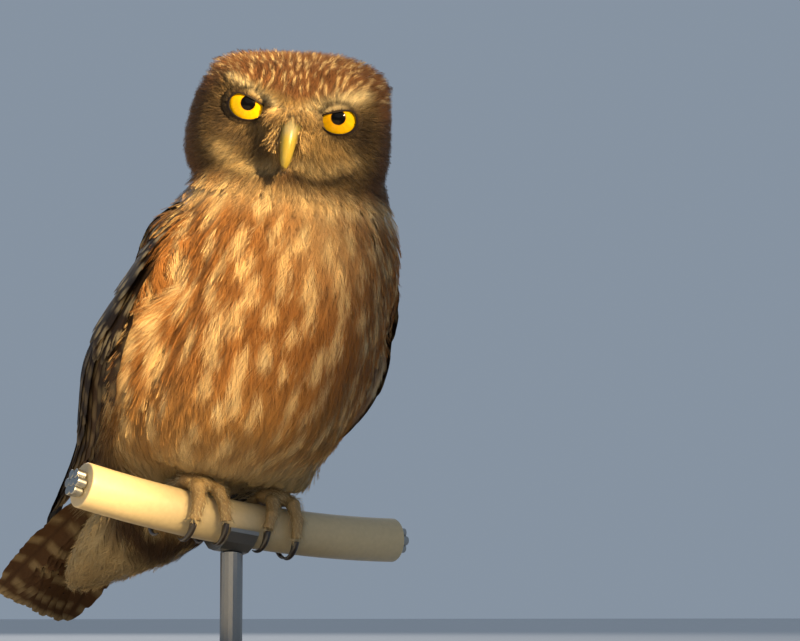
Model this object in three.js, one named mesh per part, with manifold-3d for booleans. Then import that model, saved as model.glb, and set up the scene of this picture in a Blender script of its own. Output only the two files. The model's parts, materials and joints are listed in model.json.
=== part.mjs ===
// A little owl, life size, perched on a short cut length of sheathed cable that a plain display stand holds.
// Units are millimetres and +Z is up. The bird faces -Y, its left side is +X, and the origin is the middle
// of the underside of the stand's base. Most of the bird is worked out in a frame at the top of the perch.
import * as THREE from "three";
import Module from "manifold-3d";
import { mergeVertices } from "three/addons/utils/BufferGeometryUtils.js";

const wasm = await Module();
wasm.setup();

// Driving sizes
const TOUCH_GAP = 0.3;
const SKIN_GAP = 0.5;
const PERCH_TOP = 52.5;
const FEET_FROM_MIDDLE = -24;
const BODY_ROLL = THREE.MathUtils.degToRad(4.9);

const HEAD = {
  centre: [-1.4, -20, 116.5],
  halfWidth: 32,
  front: 25,
  back: 28,
  top: 21.5,
  bottom: 28,
  taper: 0.004,
  crownTilt: 0.1,
};
const HEAD_SQUARENESS = { face: 2.8, side: 2.25 };
const HEAD_TURN = { yaw: -31.5, pitch: 10.5, roll: 8.7 };
const EYE = { x: 14.1, z: 3.2, y: -14.6, radius: 7.4, opening: 4.7, openingHeight: 4.1 };
const LID = { thickness: 0.9, halfWidth: 5.9 };

const PERCH = { radius: 7, halfLength: 56, offset: 4, slope: 8, bow: 0.0011, sides: 18, steps: 8 };
const STANCE = 14;
const FOOT_ROOM = 13.9;
const TOE_RADIUS = 2.4;

const TAIL = {
  root: [-9.5, 36, 11],
  tip: [-22, 100, -34.5],
  twist: 28,
  feathers: 12,
  width: 9.8,
  spread: 6.5,
};
const BASE = { halfWidth: 52, halfLength: 84, thickness: 8, bevel: 1.6, sides: 44 };
const ROD_RADIUS = 3.5;

const COLOUR = {
  breast: 0x9b6a3c,
  head: 0x7d5c40,
  wing: 0x4a3322,
  tail: 0x65472f,
  pale: 0xcbb390,
  bill: 0xb9ac3a,
  iris: 0xe8b80c,
  lid: 0x1d1510,
  toe: 0xb59a68,
  claw: 0x2b2623,
  sheath: 0xd2ba8c,
  strand: 0xb9bbbd,
  wood: 0x8a8073,
  steel: 0x9a9a98,
};

const vec = (x, y, z) => new THREE.Vector3(x, y, z);
const mix = (a, b, t) => a + (b - a) * t;
const smooth = (t) => t * t * (3 - 2 * t);
const clamp01 = (t) => Math.min(1, Math.max(0, t));
const bump = (distance, width) => Math.exp(-((distance / width) ** 2));
const degrees = THREE.MathUtils.degToRad;

// Feathers are never quite alike: seeded draws between -1 and 1
function drawsFrom(seed) {
  let state = seed;
  return () => {
    state = (Math.imul(state, 1664525) + 1013904223) >>> 0;
    return (state / 2 ** 31) - 1;
  };
}

// Solids: closed triangle meshes, joined and cut as exact solids
function solidOf(geometry, matrix) {
  const bare = geometry.index ? geometry.toNonIndexed() : geometry.clone();
  for (const name of Object.keys(bare.attributes)) if (name !== "position") bare.deleteAttribute(name);
  if (matrix) bare.applyMatrix4(matrix);
  const merged = mergeVertices(bare, 1e-4);
  return new wasm.Manifold(
    new wasm.Mesh({
      numProp: 3,
      vertProperties: merged.attributes.position.array,
      triVerts: new Uint32Array(merged.index.array),
    }),
  );
}

function geometryOf(solid) {
  const mesh = solid.getMesh();
  const geometry = new THREE.BufferGeometry();
  geometry.setAttribute("position", new THREE.BufferAttribute(new Float32Array(mesh.vertProperties), 3));
  geometry.setIndex(new THREE.BufferAttribute(new Uint32Array(mesh.triVerts), 1));
  geometry.computeVertexNormals();
  return geometry;
}

const joined = (solids) => solids.reduce((whole, piece) => whole.add(piece));
const largest = (solid) => solid.decompose().sort((a, b) => b.volume() - a.volume())[0];

// Geometry from a list of points and triangles, turned so that its faces point out
function closedGeometry(points, triangles) {
  const six = (a, b, c) => points[a].dot(points[b].clone().cross(points[c]));
  const volume = triangles.reduce((sum, [a, b, c]) => sum + six(a, b, c), 0);
  const order = volume < 0 ? triangles.map(([a, b, c]) => [a, c, b]) : triangles;
  const geometry = new THREE.BufferGeometry().setFromPoints(points);
  geometry.setIndex(order.flat());
  return geometry;
}

// A skin through rings of points, closed by a point at each end
function ringSkin(rings, firstEnd, lastEnd) {
  const sides = rings[0].length;
  const points = [firstEnd, ...rings.flat(), lastEnd];
  const at = (ring, side) => 1 + ring * sides + (side % sides);
  const triangles = [];
  for (let side = 0; side < sides; side++) {
    triangles.push([0, at(0, side + 1), at(0, side)]);
    for (let ring = 0; ring + 1 < rings.length; ring++) {
      triangles.push([at(ring, side), at(ring, side + 1), at(ring + 1, side + 1)]);
      triangles.push([at(ring, side), at(ring + 1, side + 1), at(ring + 1, side)]);
    }
    triangles.push([at(rings.length - 1, side), at(rings.length - 1, side + 1), points.length - 1]);
  }
  return closedGeometry(points, triangles);
}

// A round limb: rings square to a path of points, each with its own two half sizes
function limb(stations, sides, across = vec(1, 0, 0)) {
  const paths = stations.map((station) => station.at);
  const rings = stations.map((station, i) => {
    const ahead = paths[Math.min(i + 1, paths.length - 1)].clone().sub(paths[Math.max(i - 1, 0)]).normalize();
    const wide = across.clone().addScaledVector(ahead, -across.dot(ahead)).normalize();
    const deep = ahead.clone().cross(wide);
    return Array.from({ length: sides }, (_, side) => {
      const turn = (side / sides) * 2 * Math.PI;
      return station.at
        .clone()
        .addScaledVector(wide, Math.cos(turn) * station.wide)
        .addScaledVector(deep, Math.sin(turn) * station.deep);
    });
  });
  return ringSkin(rings, paths[0].clone(), paths[paths.length - 1].clone());
}

// The same limb's stations, a little larger all round
function grown(stations, grow) {
  const last = stations.length - 1;
  const outward = (from, to) => to.clone().sub(from).normalize().multiplyScalar(grow);
  return stations.map(({ at, wide, deep }, i) => {
    const moved = at.clone();
    if (i === 0) moved.add(outward(stations[1].at, at));
    if (i === last) moved.add(outward(stations[last - 1].at, at));
    return { at: moved, wide: wide + grow, deep: deep + grow };
  });
}

// A bent plate between two grids of points, with the same diagonals on both faces
function plate(rows, columns, upper, lower) {
  const points = [];
  for (const face of [upper, lower])
    for (let i = 0; i < rows; i++) for (let j = 0; j < columns; j++) points.push(face(i, j));
  const top = (i, j) => i * columns + j;
  const under = (i, j) => rows * columns + top(i, j);
  const triangles = [];
  for (let i = 0; i + 1 < rows; i++)
    for (let j = 0; j + 1 < columns; j++) {
      triangles.push([top(i, j), top(i, j + 1), top(i + 1, j + 1)]);
      triangles.push([top(i, j), top(i + 1, j + 1), top(i + 1, j)]);
      triangles.push([under(i, j), under(i + 1, j + 1), under(i, j + 1)]);
      triangles.push([under(i, j), under(i + 1, j), under(i + 1, j + 1)]);
    }
  const wall = (a, b) =>
    triangles.push([top(...a), under(...a), under(...b)], [top(...a), under(...b), top(...b)]);
  for (let j = 0; j + 1 < columns; j++) {
    wall([0, j], [0, j + 1]);
    wall([rows - 1, j + 1], [rows - 1, j]);
  }
  for (let i = 0; i + 1 < rows; i++) {
    wall([i + 1, 0], [i, 0]);
    wall([i, columns - 1], [i + 1, columns - 1]);
  }
  return closedGeometry(points, triangles);
}

// Feathers: a vane is a thin bent plate along a path, widest past its middle and round at its tip
const VANE = { middle: 0.85, edge: 0.5, widest: 0.56, rootWidth: 0.42, roundness: 0.46 };

function vaneWidth(v) {
  if (v < VANE.widest) return mix(VANE.rootWidth, 1, smooth(v / VANE.widest));
  return Math.sqrt(Math.max(0, 1 - ((v - VANE.widest) / VANE.roundness) ** 2));
}

function vane(path, normalAt, width, rows, droop) {
  const shares = Array.from({ length: rows }, (_, i) => 1 - (1 - i / (rows - 1)) ** 1.6);
  const step = 0.01;
  const corner = (side) => (i, j) => {
    const v = shares[i];
    const here = path(v);
    const ahead = path(Math.min(1, v + step)).sub(path(Math.max(0, v - step))).normalize();
    const normal = normalAt(v);
    const across = ahead.clone().cross(normal).normalize();
    const half = ((j - 1) * width * vaneWidth(v)) / 2;
    const thick = (j === 1 ? VANE.middle : VANE.edge) / 2;
    return here.addScaledVector(across, half).addScaledVector(normal, side * thick - droop * half * half);
  };
  return plate(rows, 3, corner(1), corner(-1));
}

// The trunk: level ellipses whose front, back and half width follow these heights over the perch
const TRUNK = [
  { z: 3.5, front: 0, back: 32, half: 13 },
  { z: 7, front: -12, back: 41, half: 24 },
  { z: 13, front: -28, back: 46, half: 33 },
  { z: 23, front: -37.5, back: 45.5, half: 37 },
  { z: 35, front: -43.5, back: 42, half: 38.2 },
  { z: 48, front: -48, back: 37, half: 38.2 },
  { z: 61, front: -49.5, back: 31, half: 38 },
  { z: 74, front: -48.5, back: 25, half: 38.5 },
  { z: 85, front: -45.5, back: 20, half: 37 },
  { z: 95, front: -41.5, back: 15, half: 34 },
  { z: 104, front: -38, back: 11, half: 31.5 },
  { z: 113, front: -34, back: 7, half: 27 },
];
const SIDEWAYS = {
  high: { by: 4, from: 42, over: 46 },
  low: { by: -3.4, from: 52, over: -40 },
  wingLow: { by: -2.2, from: 28, over: -24 },
};
const TRUNK_BOTTOM = 2.4;
const TRUNK_SIDES = 28;
const TRUNK_RINGS = 17;
const TRUNK_PACKING = 1.3;

// How far the trunk's middle, and the wings beside it, are bent sideways at a height
const sideways = ({ by, from, over }, z) => by * smooth(clamp01((z - from) / over));
const bend = (z) => sideways(SIDEWAYS.high, z) + sideways(SIDEWAYS.low, z);
const wingBend = (z) => sideways(SIDEWAYS.high, z) + sideways(SIDEWAYS.wingLow, z);

function trunkAt(z) {
  const last = TRUNK.length - 1;
  const high = Math.max(1, TRUNK.findIndex((row) => row.z >= z));
  const upper = z >= TRUNK[last].z ? last : high;
  const t = clamp01((z - TRUNK[upper - 1].z) / (TRUNK[upper].z - TRUNK[upper - 1].z));
  const eased = (key) => {
    const value = (i) => TRUNK[Math.min(last, Math.max(0, i))][key];
    const [a, b, c, d] = [value(upper - 2), value(upper - 1), value(upper), value(upper + 1)];
    return b + 0.5 * t * (c - a + t * (2 * a - 5 * b + 4 * c - d + t * (3 * (b - c) + d - a)));
  };
  const [front, back, half] = [eased("front"), eased("back"), eased("half")];
  return { middle: (front + back) / 2, depth: (back - front) / 2, half };
}

function trunk(grow) {
  const [bottom, top] = [TRUNK[0].z, TRUNK[TRUNK.length - 1].z];
  const rings = Array.from({ length: TRUNK_RINGS }, (_, i) => {
    const z = mix(bottom, top, (i / (TRUNK_RINGS - 1)) ** TRUNK_PACKING);
    const { middle, depth, half } = trunkAt(z);
    return Array.from({ length: TRUNK_SIDES }, (_, side) => {
      const turn = (side / TRUNK_SIDES) * 2 * Math.PI;
      return vec(bend(z) + Math.cos(turn) * (half + grow), middle + Math.sin(turn) * (depth + grow), z);
    });
  });
  const lowest = vec(bend(bottom), trunkAt(bottom).middle, TRUNK_BOTTOM - grow);
  return ringSkin(rings, lowest, vec(bend(top), trunkAt(top).middle, top + grow));
}

// A point of the body's frame, moved level until it is the given distance from the trunk's surface
function besideTrunk(point, distance) {
  const { middle, depth, half } = trunkAt(Math.max(TRUNK[0].z, point.z));
  const aside = point.x - bend(point.z);
  const reach = Math.hypot(aside / (half + distance), (point.y - middle) / (depth + distance));
  return { reach, point: vec(bend(point.z) + aside / reach, middle + (point.y - middle) / reach, point.z) };
}

// The head: a squared ball in its own frame, facing -Y, with the relief of the face laid on it
const FACE = {
  dishDepth: 2.8,
  dishWidth: 9.5,
  rimHeight: 1.3,
  rimRadius: 15.5,
  rimWidth: 3.2,
  browHeight: 2.4,
  browWidth: 3,
  browRise: 10.5,
  browReach: 24,
  billMound: 3.4,
  billMoundWidth: 6,
  billMoundHeight: 10,
};

function faceRelief(x, z) {
  const side = Math.abs(x);
  const toEye = Math.hypot(side - EYE.x, z - EYE.z);
  const dish = -FACE.dishDepth * bump(toEye, FACE.dishWidth);
  const rim = FACE.rimHeight * bump(toEye - FACE.rimRadius, FACE.rimWidth);
  const browLine = FACE.browRise * Math.min(1, side / (0.75 * FACE.browReach)) ** 0.7;
  const browEnd = clamp01((FACE.browReach - side) / 6);
  const brow = FACE.browHeight * browEnd * bump(z - browLine, FACE.browWidth);
  const mound = FACE.billMound * bump(Math.hypot(x / FACE.billMoundWidth, (z + 5) / FACE.billMoundHeight), 1);
  return dish + rim + brow + mound;
}

const HEAD_RINGS = 21;
const HEAD_SIDES = 32;
const HEAD_RING_PACKING = 1.25;

function headSurface(grow) {
  const { face, side: depthwise } = HEAD_SQUARENESS;
  const point = (polar, turn) => {
    const d = vec(Math.sin(polar) * Math.cos(turn), -Math.cos(polar), Math.sin(polar) * Math.sin(turn));
    const lengths = [HEAD.halfWidth, d.y < 0 ? HEAD.front : HEAD.back, d.z > 0 ? HEAD.top : HEAD.bottom];
    const [a, b, c] = [d.x, d.y, d.z].map((value, i) => Math.abs(value) / lengths[i]);
    const level = (a ** face + c ** face) ** (depthwise / face);
    const p = d.multiplyScalar((level + b ** depthwise) ** (-1 / depthwise));
    p.x *= 1 - HEAD.taper * p.z;
    p.z += HEAD.crownTilt * p.x * smooth(clamp01((p.z - 2) / 12));
    const facing = smooth(clamp01((-p.y - 8) / 11));
    p.y -= facing * faceRelief(p.x, p.z);
    return p.multiplyScalar(1 + grow / p.length());
  };
  const rings = Array.from({ length: HEAD_RINGS }, (_, ring) => {
    const polar = Math.PI * ((ring + 1) / (HEAD_RINGS + 1)) ** HEAD_RING_PACKING;
    return Array.from({ length: HEAD_SIDES }, (_, side) => point(polar, (side / HEAD_SIDES) * 2 * Math.PI));
  });
  return ringSkin(rings, point(0, 0), point(Math.PI, 0));
}

// Frames: the body leans to its left over the perch, and the head is turned to its right
const bodyFrame = new THREE.Matrix4().makeRotationY(BODY_ROLL);
const bodyFrameBack = bodyFrame.clone().invert();
const headFrame = bodyFrame
  .clone()
  .multiply(new THREE.Matrix4().makeTranslation(...HEAD.centre))
  .multiply(new THREE.Matrix4().makeRotationY(-BODY_ROLL))
  .multiply(new THREE.Matrix4().makeRotationZ(degrees(HEAD_TURN.yaw)))
  .multiply(new THREE.Matrix4().makeRotationX(degrees(HEAD_TURN.pitch)))
  .multiply(new THREE.Matrix4().makeRotationY(degrees(HEAD_TURN.roll)));

// Head, neck and torso are one flesh, parted by two thin level cuts
const flesh = (grow) => solidOf(trunk(grow), bodyFrame).add(solidOf(headSurface(grow), headFrame));
const HEAD_CUT = -18.5;
const NECK_CUT = { z: 88, tilt: 12 };
const CUT_REACH = 260;

function thinCut(frame, height, tilt) {
  const sheet = new THREE.BoxGeometry(CUT_REACH, CUT_REACH, TOUCH_GAP);
  const place = frame
    .clone()
    .multiply(new THREE.Matrix4().makeTranslation(0, 0, height))
    .multiply(new THREE.Matrix4().makeRotationX(tilt));
  return solidOf(sheet, place);
}

const heightOf = (solid) => {
  const box = solid.boundingBox();
  return (box.min[2] + box.max[2]) / 2;
};
const [torsoFlesh, neckFlesh, headFlesh] = flesh(0)
  .subtract(thinCut(headFrame, HEAD_CUT, 0))
  .subtract(thinCut(bodyFrame, NECK_CUT.z, degrees(NECK_CUT.tilt)))
  .decompose()
  .filter((piece) => piece.volume() > 100)
  .sort((a, b) => heightOf(a) - heightOf(b));
const grownFlesh = flesh(SKIN_GAP);

// Eyes and lids: each lid is a shell on its eyeball, open in front, and sits in the head's socket
const EYE_DETAIL = [14, 9];

function ball(radius, centre, frame = headFrame, detail = EYE_DETAIL) {
  const turned = new THREE.SphereGeometry(radius, ...detail).rotateX(Math.PI / 2);
  return solidOf(turned.translate(...centre), frame);
}

function eyePlug(side, halfWidth, halfHeight, from, to, lift) {
  const oval = new THREE.Shape().absellipse(0, 0, halfWidth, halfHeight, 0, 2 * Math.PI);
  const plug = new THREE.ExtrudeGeometry(oval, { depth: to - from, bevelEnabled: false, curveSegments: 7 });
  plug.rotateX(Math.PI / 2).translate(side * EYE.x, -from, EYE.z + lift);
  return solidOf(plug, headFrame);
}

function eyeParts(side) {
  const centre = [side * EYE.x, EYE.y, EYE.z];
  const outer = EYE.radius + TOUCH_GAP + LID.thickness;
  const round = (size) => eyePlug(side, size, size, 10, 40, 0);
  const eye = ball(EYE.radius, centre).intersect(round(LID.halfWidth));
  const shell = ball(outer, centre).subtract(ball(EYE.radius + TOUCH_GAP, centre));
  const opening = eyePlug(side, EYE.opening, EYE.openingHeight, 0, 60, -0.35);
  const lid = largest(shell.intersect(round(LID.halfWidth)).subtract(opening));
  const socket = eyePlug(side, LID.halfWidth + TOUCH_GAP, LID.halfWidth + TOUCH_GAP, 10 - TOUCH_GAP, 40, 0);
  return { eye, lid, socket };
}

const eyes = { left: eyeParts(1), right: eyeParts(-1) };

// The bill: a hooked upper half with its cere and nostrils, and a short lower half behind the mouth line
const BILL_LINE = [
  { at: vec(0, -20, 1.2), wide: 3.6, deep: 4.2 },
  { at: vec(0, -26, -0.4), wide: 3.5, deep: 4 },
  { at: vec(0, -29.8, -3.4), wide: 3.1, deep: 3.4 },
  { at: vec(0, -31.4, -7.2), wide: 2.6, deep: 2.8 },
  { at: vec(0, -31.8, -10.8), wide: 1.9, deep: 2.1 },
  { at: vec(0, -31.2, -13.8), wide: 1.1, deep: 1.3 },
  { at: vec(0, -30.3, -16), wide: 0.35, deep: 0.4 },
];
const LOWER_BILL_LINE = [
  { at: vec(0, -21, -7.5), wide: 3.4, deep: 2.2 },
  { at: vec(0, -25.5, -9.6), wide: 2.9, deep: 1.9 },
  { at: vec(0, -27.8, -12), wide: 2, deep: 1.3 },
  { at: vec(0, -28.8, -13.6), wide: 0.9, deep: 0.6 },
];
const NOSTRIL = { x: 2.3, y: -27.6, z: -0.8, swelling: 1.7, hole: 0.75 };

const billSolid = (stations, grow) => solidOf(limb(grown(stations, grow), 10), headFrame);

function upperBill() {
  const sides = [-1, 1];
  const swell = sides.map((side) =>
    ball(NOSTRIL.swelling, [side * NOSTRIL.x, NOSTRIL.y, NOSTRIL.z], headFrame, [6, 4]),
  );
  const holes = sides.map((side) =>
    ball(NOSTRIL.hole, [side * (NOSTRIL.x + 0.9), NOSTRIL.y - 1, NOSTRIL.z], headFrame, [5, 4]),
  );
  return joined([billSolid(BILL_LINE, 0), ...swell]).subtract(joined(holes));
}

const headCuts = joined([
  eyes.left.socket,
  eyes.right.socket,
  billSolid(BILL_LINE, TOUCH_GAP),
  billSolid(LOWER_BILL_LINE, TOUCH_GAP),
  ...[-1, 1].map((side) =>
    ball(NOSTRIL.swelling + TOUCH_GAP, [side * NOSTRIL.x, NOSTRIL.y, NOSTRIL.z], headFrame, [6, 4]),
  ),
]);
const billUpper = upperBill();
const billLower = largest(billSolid(LOWER_BILL_LINE, 0).subtract(billSolid(BILL_LINE, TOUCH_GAP)));

// The tail's frame: x across, y along the feathers, z out of its upper side
const tailAlong = vec(...TAIL.tip).sub(vec(...TAIL.root));
const tailLength = tailAlong.length();
const tailFrame = (() => {
  const along = tailAlong.clone().normalize();
  const across = vec(along.y, -along.x, 0).normalize();
  const basis = new THREE.Matrix4().makeBasis(across, along, across.clone().cross(along));
  return new THREE.Matrix4()
    .makeTranslation(...TAIL.root)
    .multiply(basis)
    .multiply(new THREE.Matrix4().makeRotationY(degrees(TAIL.twist)));
})();
const onTail = (x, y, z) => vec(x, y, z).applyMatrix4(tailFrame);

// Tail feathers: pairs from the outermost, underneath, to the middle one on top
const TAIL_LAYER = 0.85;
const TAIL_SEED = 12;
const TAIL_COVERTS = [
  { y: -5, wide: 8, deep: 3.5 },
  { y: 6, wide: 11.5, deep: 5.6 },
  { y: 20, wide: 11.5, deep: 4.4 },
  { y: 32, wide: 6, deep: 2.2 },
];

function tailFeathers() {
  const pairs = TAIL.feathers / 2;
  const draw = drawsFrom(TAIL_SEED);
  const pieces = [];
  for (let i = 0; i < TAIL.feathers; i++) {
    const side = i % 2 ? 1 : -1;
    const outward = (Math.floor(i / 2) + 0.5) / pairs;
    const lift = TAIL_LAYER * (pairs - 1 - Math.floor(i / 2)) + (side > 0 ? 0 : TAIL_LAYER / 2);
    const turn = side * degrees(TAIL.spread) * (outward + 0.08 * draw());
    const length = tailLength * (1 - 0.075 * outward ** 2 - 0.008 * (1 + draw()));
    const width = TAIL.width * (1 + 0.05 * draw());
    const path = (v) =>
      vec(side * 3 * outward + Math.sin(turn) * length * v, Math.cos(turn) * length * v, lift - 1.5 * v * v);
    pieces.push(solidOf(vane(path, () => vec(0, 0, 1), width, 5, 0), tailFrame));
  }
  const stack = TAIL_LAYER * pairs;
  const root = TAIL_COVERTS.map(({ y, wide, deep }) => ({ at: vec(0, y, stack / 2 - 0.05 * y), wide, deep }));
  pieces.push(solidOf(limb(root, 12), tailFrame));
  return joined(pieces);
}

// The room that the fan of feathers fills, which the soft coverts under it keep clear of
function tailRoom() {
  const reach = tailLength + 6;
  const half = (y) => 12.5 + Math.sin(degrees(TAIL.spread)) * Math.max(0, y);
  const y = [-20, 20, reach];
  const level = (z) => (i, j) => onTail((j - 1) * half(y[i]), y[i], z[i]);
  return solidOf(plate(3, 3, level([9, 8.4, 5.8]), level([-4, -3.4, -2.6])));
}

// Soft coverts under the tail: a full, tapering form that hangs from the vent
const UNDERTAIL = [
  { at: vec(-2, 15, 8), wide: 15, deep: 5 },
  { at: vec(-6, 24, -1), wide: 18, deep: 12 },
  { at: vec(-11, 35, -7), wide: 18, deep: 13.5 },
  { at: vec(-14, 46, -12), wide: 15, deep: 11.5 },
  { at: vec(-16, 57, -18), wide: 11, deep: 8 },
  { at: vec(-17, 66, -23), wide: 7.5, deep: 5 },
  { at: vec(-18, 72, -27), wide: 3.5, deep: 2 },
];
const undertailSolid = (grow) => solidOf(limb(grown(UNDERTAIL, grow), 18));
const footRoomLine = [-40, -14, 14, 40].map((x) => ({ at: perchMiddle(x), wide: FOOT_ROOM, deep: FOOT_ROOM }));
const footRoom = solidOf(limb(footRoomLine, 18, vec(0, 1, 0)));
const undertail = largest(undertailSolid(0).subtract(grownFlesh).subtract(tailRoom()).subtract(footRoom));
const tail = largest(tailFeathers().subtract(grownFlesh));

const WRIST_SINK = 3.4;

// Wings: a folded wing is a leaf laid round the side of the trunk. s runs from the wrist to the tip, and t
// from the edge on the back, 0, to the edge on the belly, 1.
const backInBody = (point) => point.applyMatrix4(bodyFrameBack);

function wingLeaf(side) {
  const own = (x, y, z) => vec(side * x + wingBend(z), y, z);
  const tipAt = (x, y, z) => backInBody(onTail(side * x, y, z));
  const edges = {
    back: [own(15, 7, 92), own(17, 20, 76), own(12, 36, 52), own(9, 47, 30), tipAt(0, 48, 8.6)],
    middle: [own(34, -12, 88), own(38, 3, 67), own(40, 22, 42), own(32, 37, 18), tipAt(5, 56, 8.2)],
    belly: [own(38, -29, 75), own(45, -16, 54), own(45, -3, 34), own(33, 24, 12), tipAt(10, 46, 7.8)],
  };
  const [back, middle, belly] = Object.values(edges).map((points) => new THREE.CatmullRomCurve3(points));
  const raw = (s, t) => {
    const [k, m, l] = [back, middle, belly].map((curve) => curve.getPoint(clamp01(s)));
    const control = m.multiplyScalar(2).sub(k.clone().add(l).multiplyScalar(0.5));
    return k
      .multiplyScalar((1 - t) ** 2)
      .addScaledVector(control, 2 * t * (1 - t))
      .addScaledVector(l, t * t);
  };
  const sunk = (s, t) => {
    const atWrist = 1 - smooth(clamp01(s / 0.14));
    const atBelly = clamp01((t - 0.86) / 0.14) * clamp01((0.3 - s) / 0.14);
    return Math.max(atWrist, atBelly);
  };
  const point = (s, t) => {
    const place = raw(s, t);
    const outer = besideTrunk(place, 0.9);
    const clear = outer.reach < 1 && place.z > TRUNK[0].z ? outer.point : place;
    return clear.clone().lerp(besideTrunk(place, -WRIST_SINK).point, sunk(s, t));
  };
  const normal = (s, t) => {
    const h = 0.02;
    const alongS = raw(Math.min(1, s + h), t).sub(raw(Math.max(0, s - h), t));
    const alongT = raw(s, Math.min(1, t + h)).sub(raw(s, Math.max(0, t - h)));
    return alongS.cross(alongT).multiplyScalar(-side).normalize();
  };
  return { point, normal };
}

// The arm and hand under the coverts, which every feather of the wing grows from
const ARM = { end: 0.5, height: 4.2, sink: 5, rows: 7, columns: 7 };
function armHeight(s, t) {
  const across = Math.sin(Math.PI * clamp01(t * 0.96 + 0.02)) ** 0.6;
  const ends = Math.sqrt(clamp01((s + 0.03) / 0.12)) * clamp01((ARM.end + 0.06 - s) / 0.36);
  return 0.7 + ARM.height * across * ends;
}

function wingArm(leaf) {
  const place = (i, j) => [(i / (ARM.rows - 1)) * ARM.end, 0.03 + 0.94 * (j / (ARM.columns - 1))];
  const raised = (s, t, height) => leaf.point(s, t).addScaledVector(leaf.normal(s, t), height);
  const upper = (i, j) => raised(...place(i, j), armHeight(...place(i, j)));
  const lower = (i, j) => raised(...place(i, j), -ARM.sink);
  return solidOf(plate(ARM.rows, ARM.columns, upper, lower), bodyFrame);
}

// Tiers of feathers. In each, bulge moves the tips between its first and last feather along s, lift is how
// high root and tip stand over the leaf, and rise is the step from one feather to the next.
const TIERS = {
  primaries: { count: 6, width: 10.5, rows: 5, bulge: 0.07, lift: [0.6, 0.7], rise: 0.42 },
  secondaries: { count: 4, width: 15, rows: 5, bulge: 0.02, lift: [1, 2.9], rise: 0.35 },
  tertials: { count: 2, width: 13, rows: 4, bulge: 0, lift: [2, 4.2], rise: 0.5 },
  primaryCoverts: { count: 2, width: 8.5, rows: 4, bulge: 0.02, lift: [0.6, 2.3], rise: 0.5 },
  greaterCoverts: { count: 4, width: 16, rows: 4, bulge: 0.01, lift: [2, 3.8], rise: 0.2 },
  medianCoverts: { count: 3, width: 18, rows: 4, bulge: 0.01, lift: [2, 4.8], rise: 0.2 },
  scapulars: { count: 3, width: 15, rows: 4, bulge: 0, lift: [1, 4.7], rise: 0.2 },
};
// The first and the last feather of each tier: s and t of its root, then s and t of its tip
const TIER_ENDS = {
  primaries: { first: [0.3, 0.93, 0.8, 0.93], last: [0.3, 0.62, 0.97, 0.5] },
  secondaries: { first: [0.28, 0.7, 0.74, 0.68], last: [0.24, 0.25, 0.64, 0.24] },
  tertials: { first: [0.24, 0.2, 0.58, 0.16], last: [0.2, 0.08, 0.5, 0.07] },
  primaryCoverts: { first: [0.16, 0.96, 0.4, 0.98], last: [0.16, 0.82, 0.46, 0.84] },
  greaterCoverts: { first: [0.18, 0.78, 0.42, 0.72], last: [0.14, 0.16, 0.38, 0.14] },
  medianCoverts: { first: [0.07, 0.8, 0.3, 0.8], last: [0.05, 0.24, 0.26, 0.2] },
  scapulars: { first: [0.03, 0.12, 0.27, 0.2], last: [0.3, 0.05, 0.56, 0.1] },
};
const FEATHER_DRAW = { along: 0.012, across: 0.01, width: 0.06, lift: 0.12 };

function tierFeathers(leaf, name, draw) {
  const { count, width, rows, bulge, lift, rise } = TIERS[name];
  const { first, last } = TIER_ENDS[name];
  return Array.from({ length: count }, (_, i) => {
    const share = i / (count - 1);
    const [rootS, rootT, endS, endT] = first.map((value, k) => mix(value, last[k], share));
    const tipS = endS + bulge * Math.sin(Math.PI * share) + FEATHER_DRAW.along * draw();
    const tipT = endT + FEATHER_DRAW.across * draw();
    const place = (v) => [mix(rootS, tipS, v), mix(rootT, tipT, v)];
    const raise = FEATHER_DRAW.lift * draw();
    const height = (v) => mix(lift[0], lift[1], Math.sqrt(v)) + (rise * i + raise) * v;
    const path = (v) => leaf.point(...place(v)).addScaledVector(leaf.normal(...place(v)), height(v));
    const ownWidth = width * (1 + FEATHER_DRAW.width * draw());
    return solidOf(vane(path, (v) => leaf.normal(...place(v)), ownWidth, rows, 0.02), bodyFrame);
  });
}

const WING_SEED = { left: 5, right: 9 };

function wing(side) {
  const leaf = wingLeaf(side);
  const draw = drawsFrom(side > 0 ? WING_SEED.left : WING_SEED.right);
  const feathers = Object.keys(TIERS).flatMap((name) => tierFeathers(leaf, name, draw));
  return largest(joined([wingArm(leaf), ...feathers]).subtract(grownFlesh));
}

// The perch: a short cut length of round sheathed cable, with its strands bare at both ends
function perchMiddle(x) {
  return vec(x, 0, -PERCH.radius - x * Math.tan(degrees(PERCH.slope)) + PERCH.bow * x * x);
}

function perchFrame(x) {
  const along = perchMiddle(x + 0.5).sub(perchMiddle(x - 0.5)).normalize();
  const front = vec(0, -1, 0);
  return { middle: perchMiddle(x), along, front, up: front.clone().cross(along) };
}

function cable(grow) {
  const stations = Array.from({ length: PERCH.steps + 1 }, (_, i) => {
    const x = PERCH.offset + mix(-PERCH.halfLength - grow, PERCH.halfLength + grow, i / PERCH.steps);
    return { at: perchMiddle(x), wide: PERCH.radius + grow, deep: PERCH.radius + grow };
  });
  return solidOf(limb(stations, PERCH.sides, vec(0, 1, 0)));
}

const STRAND = { radius: 1.5, length: 3.2, around: 6 };

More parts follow.
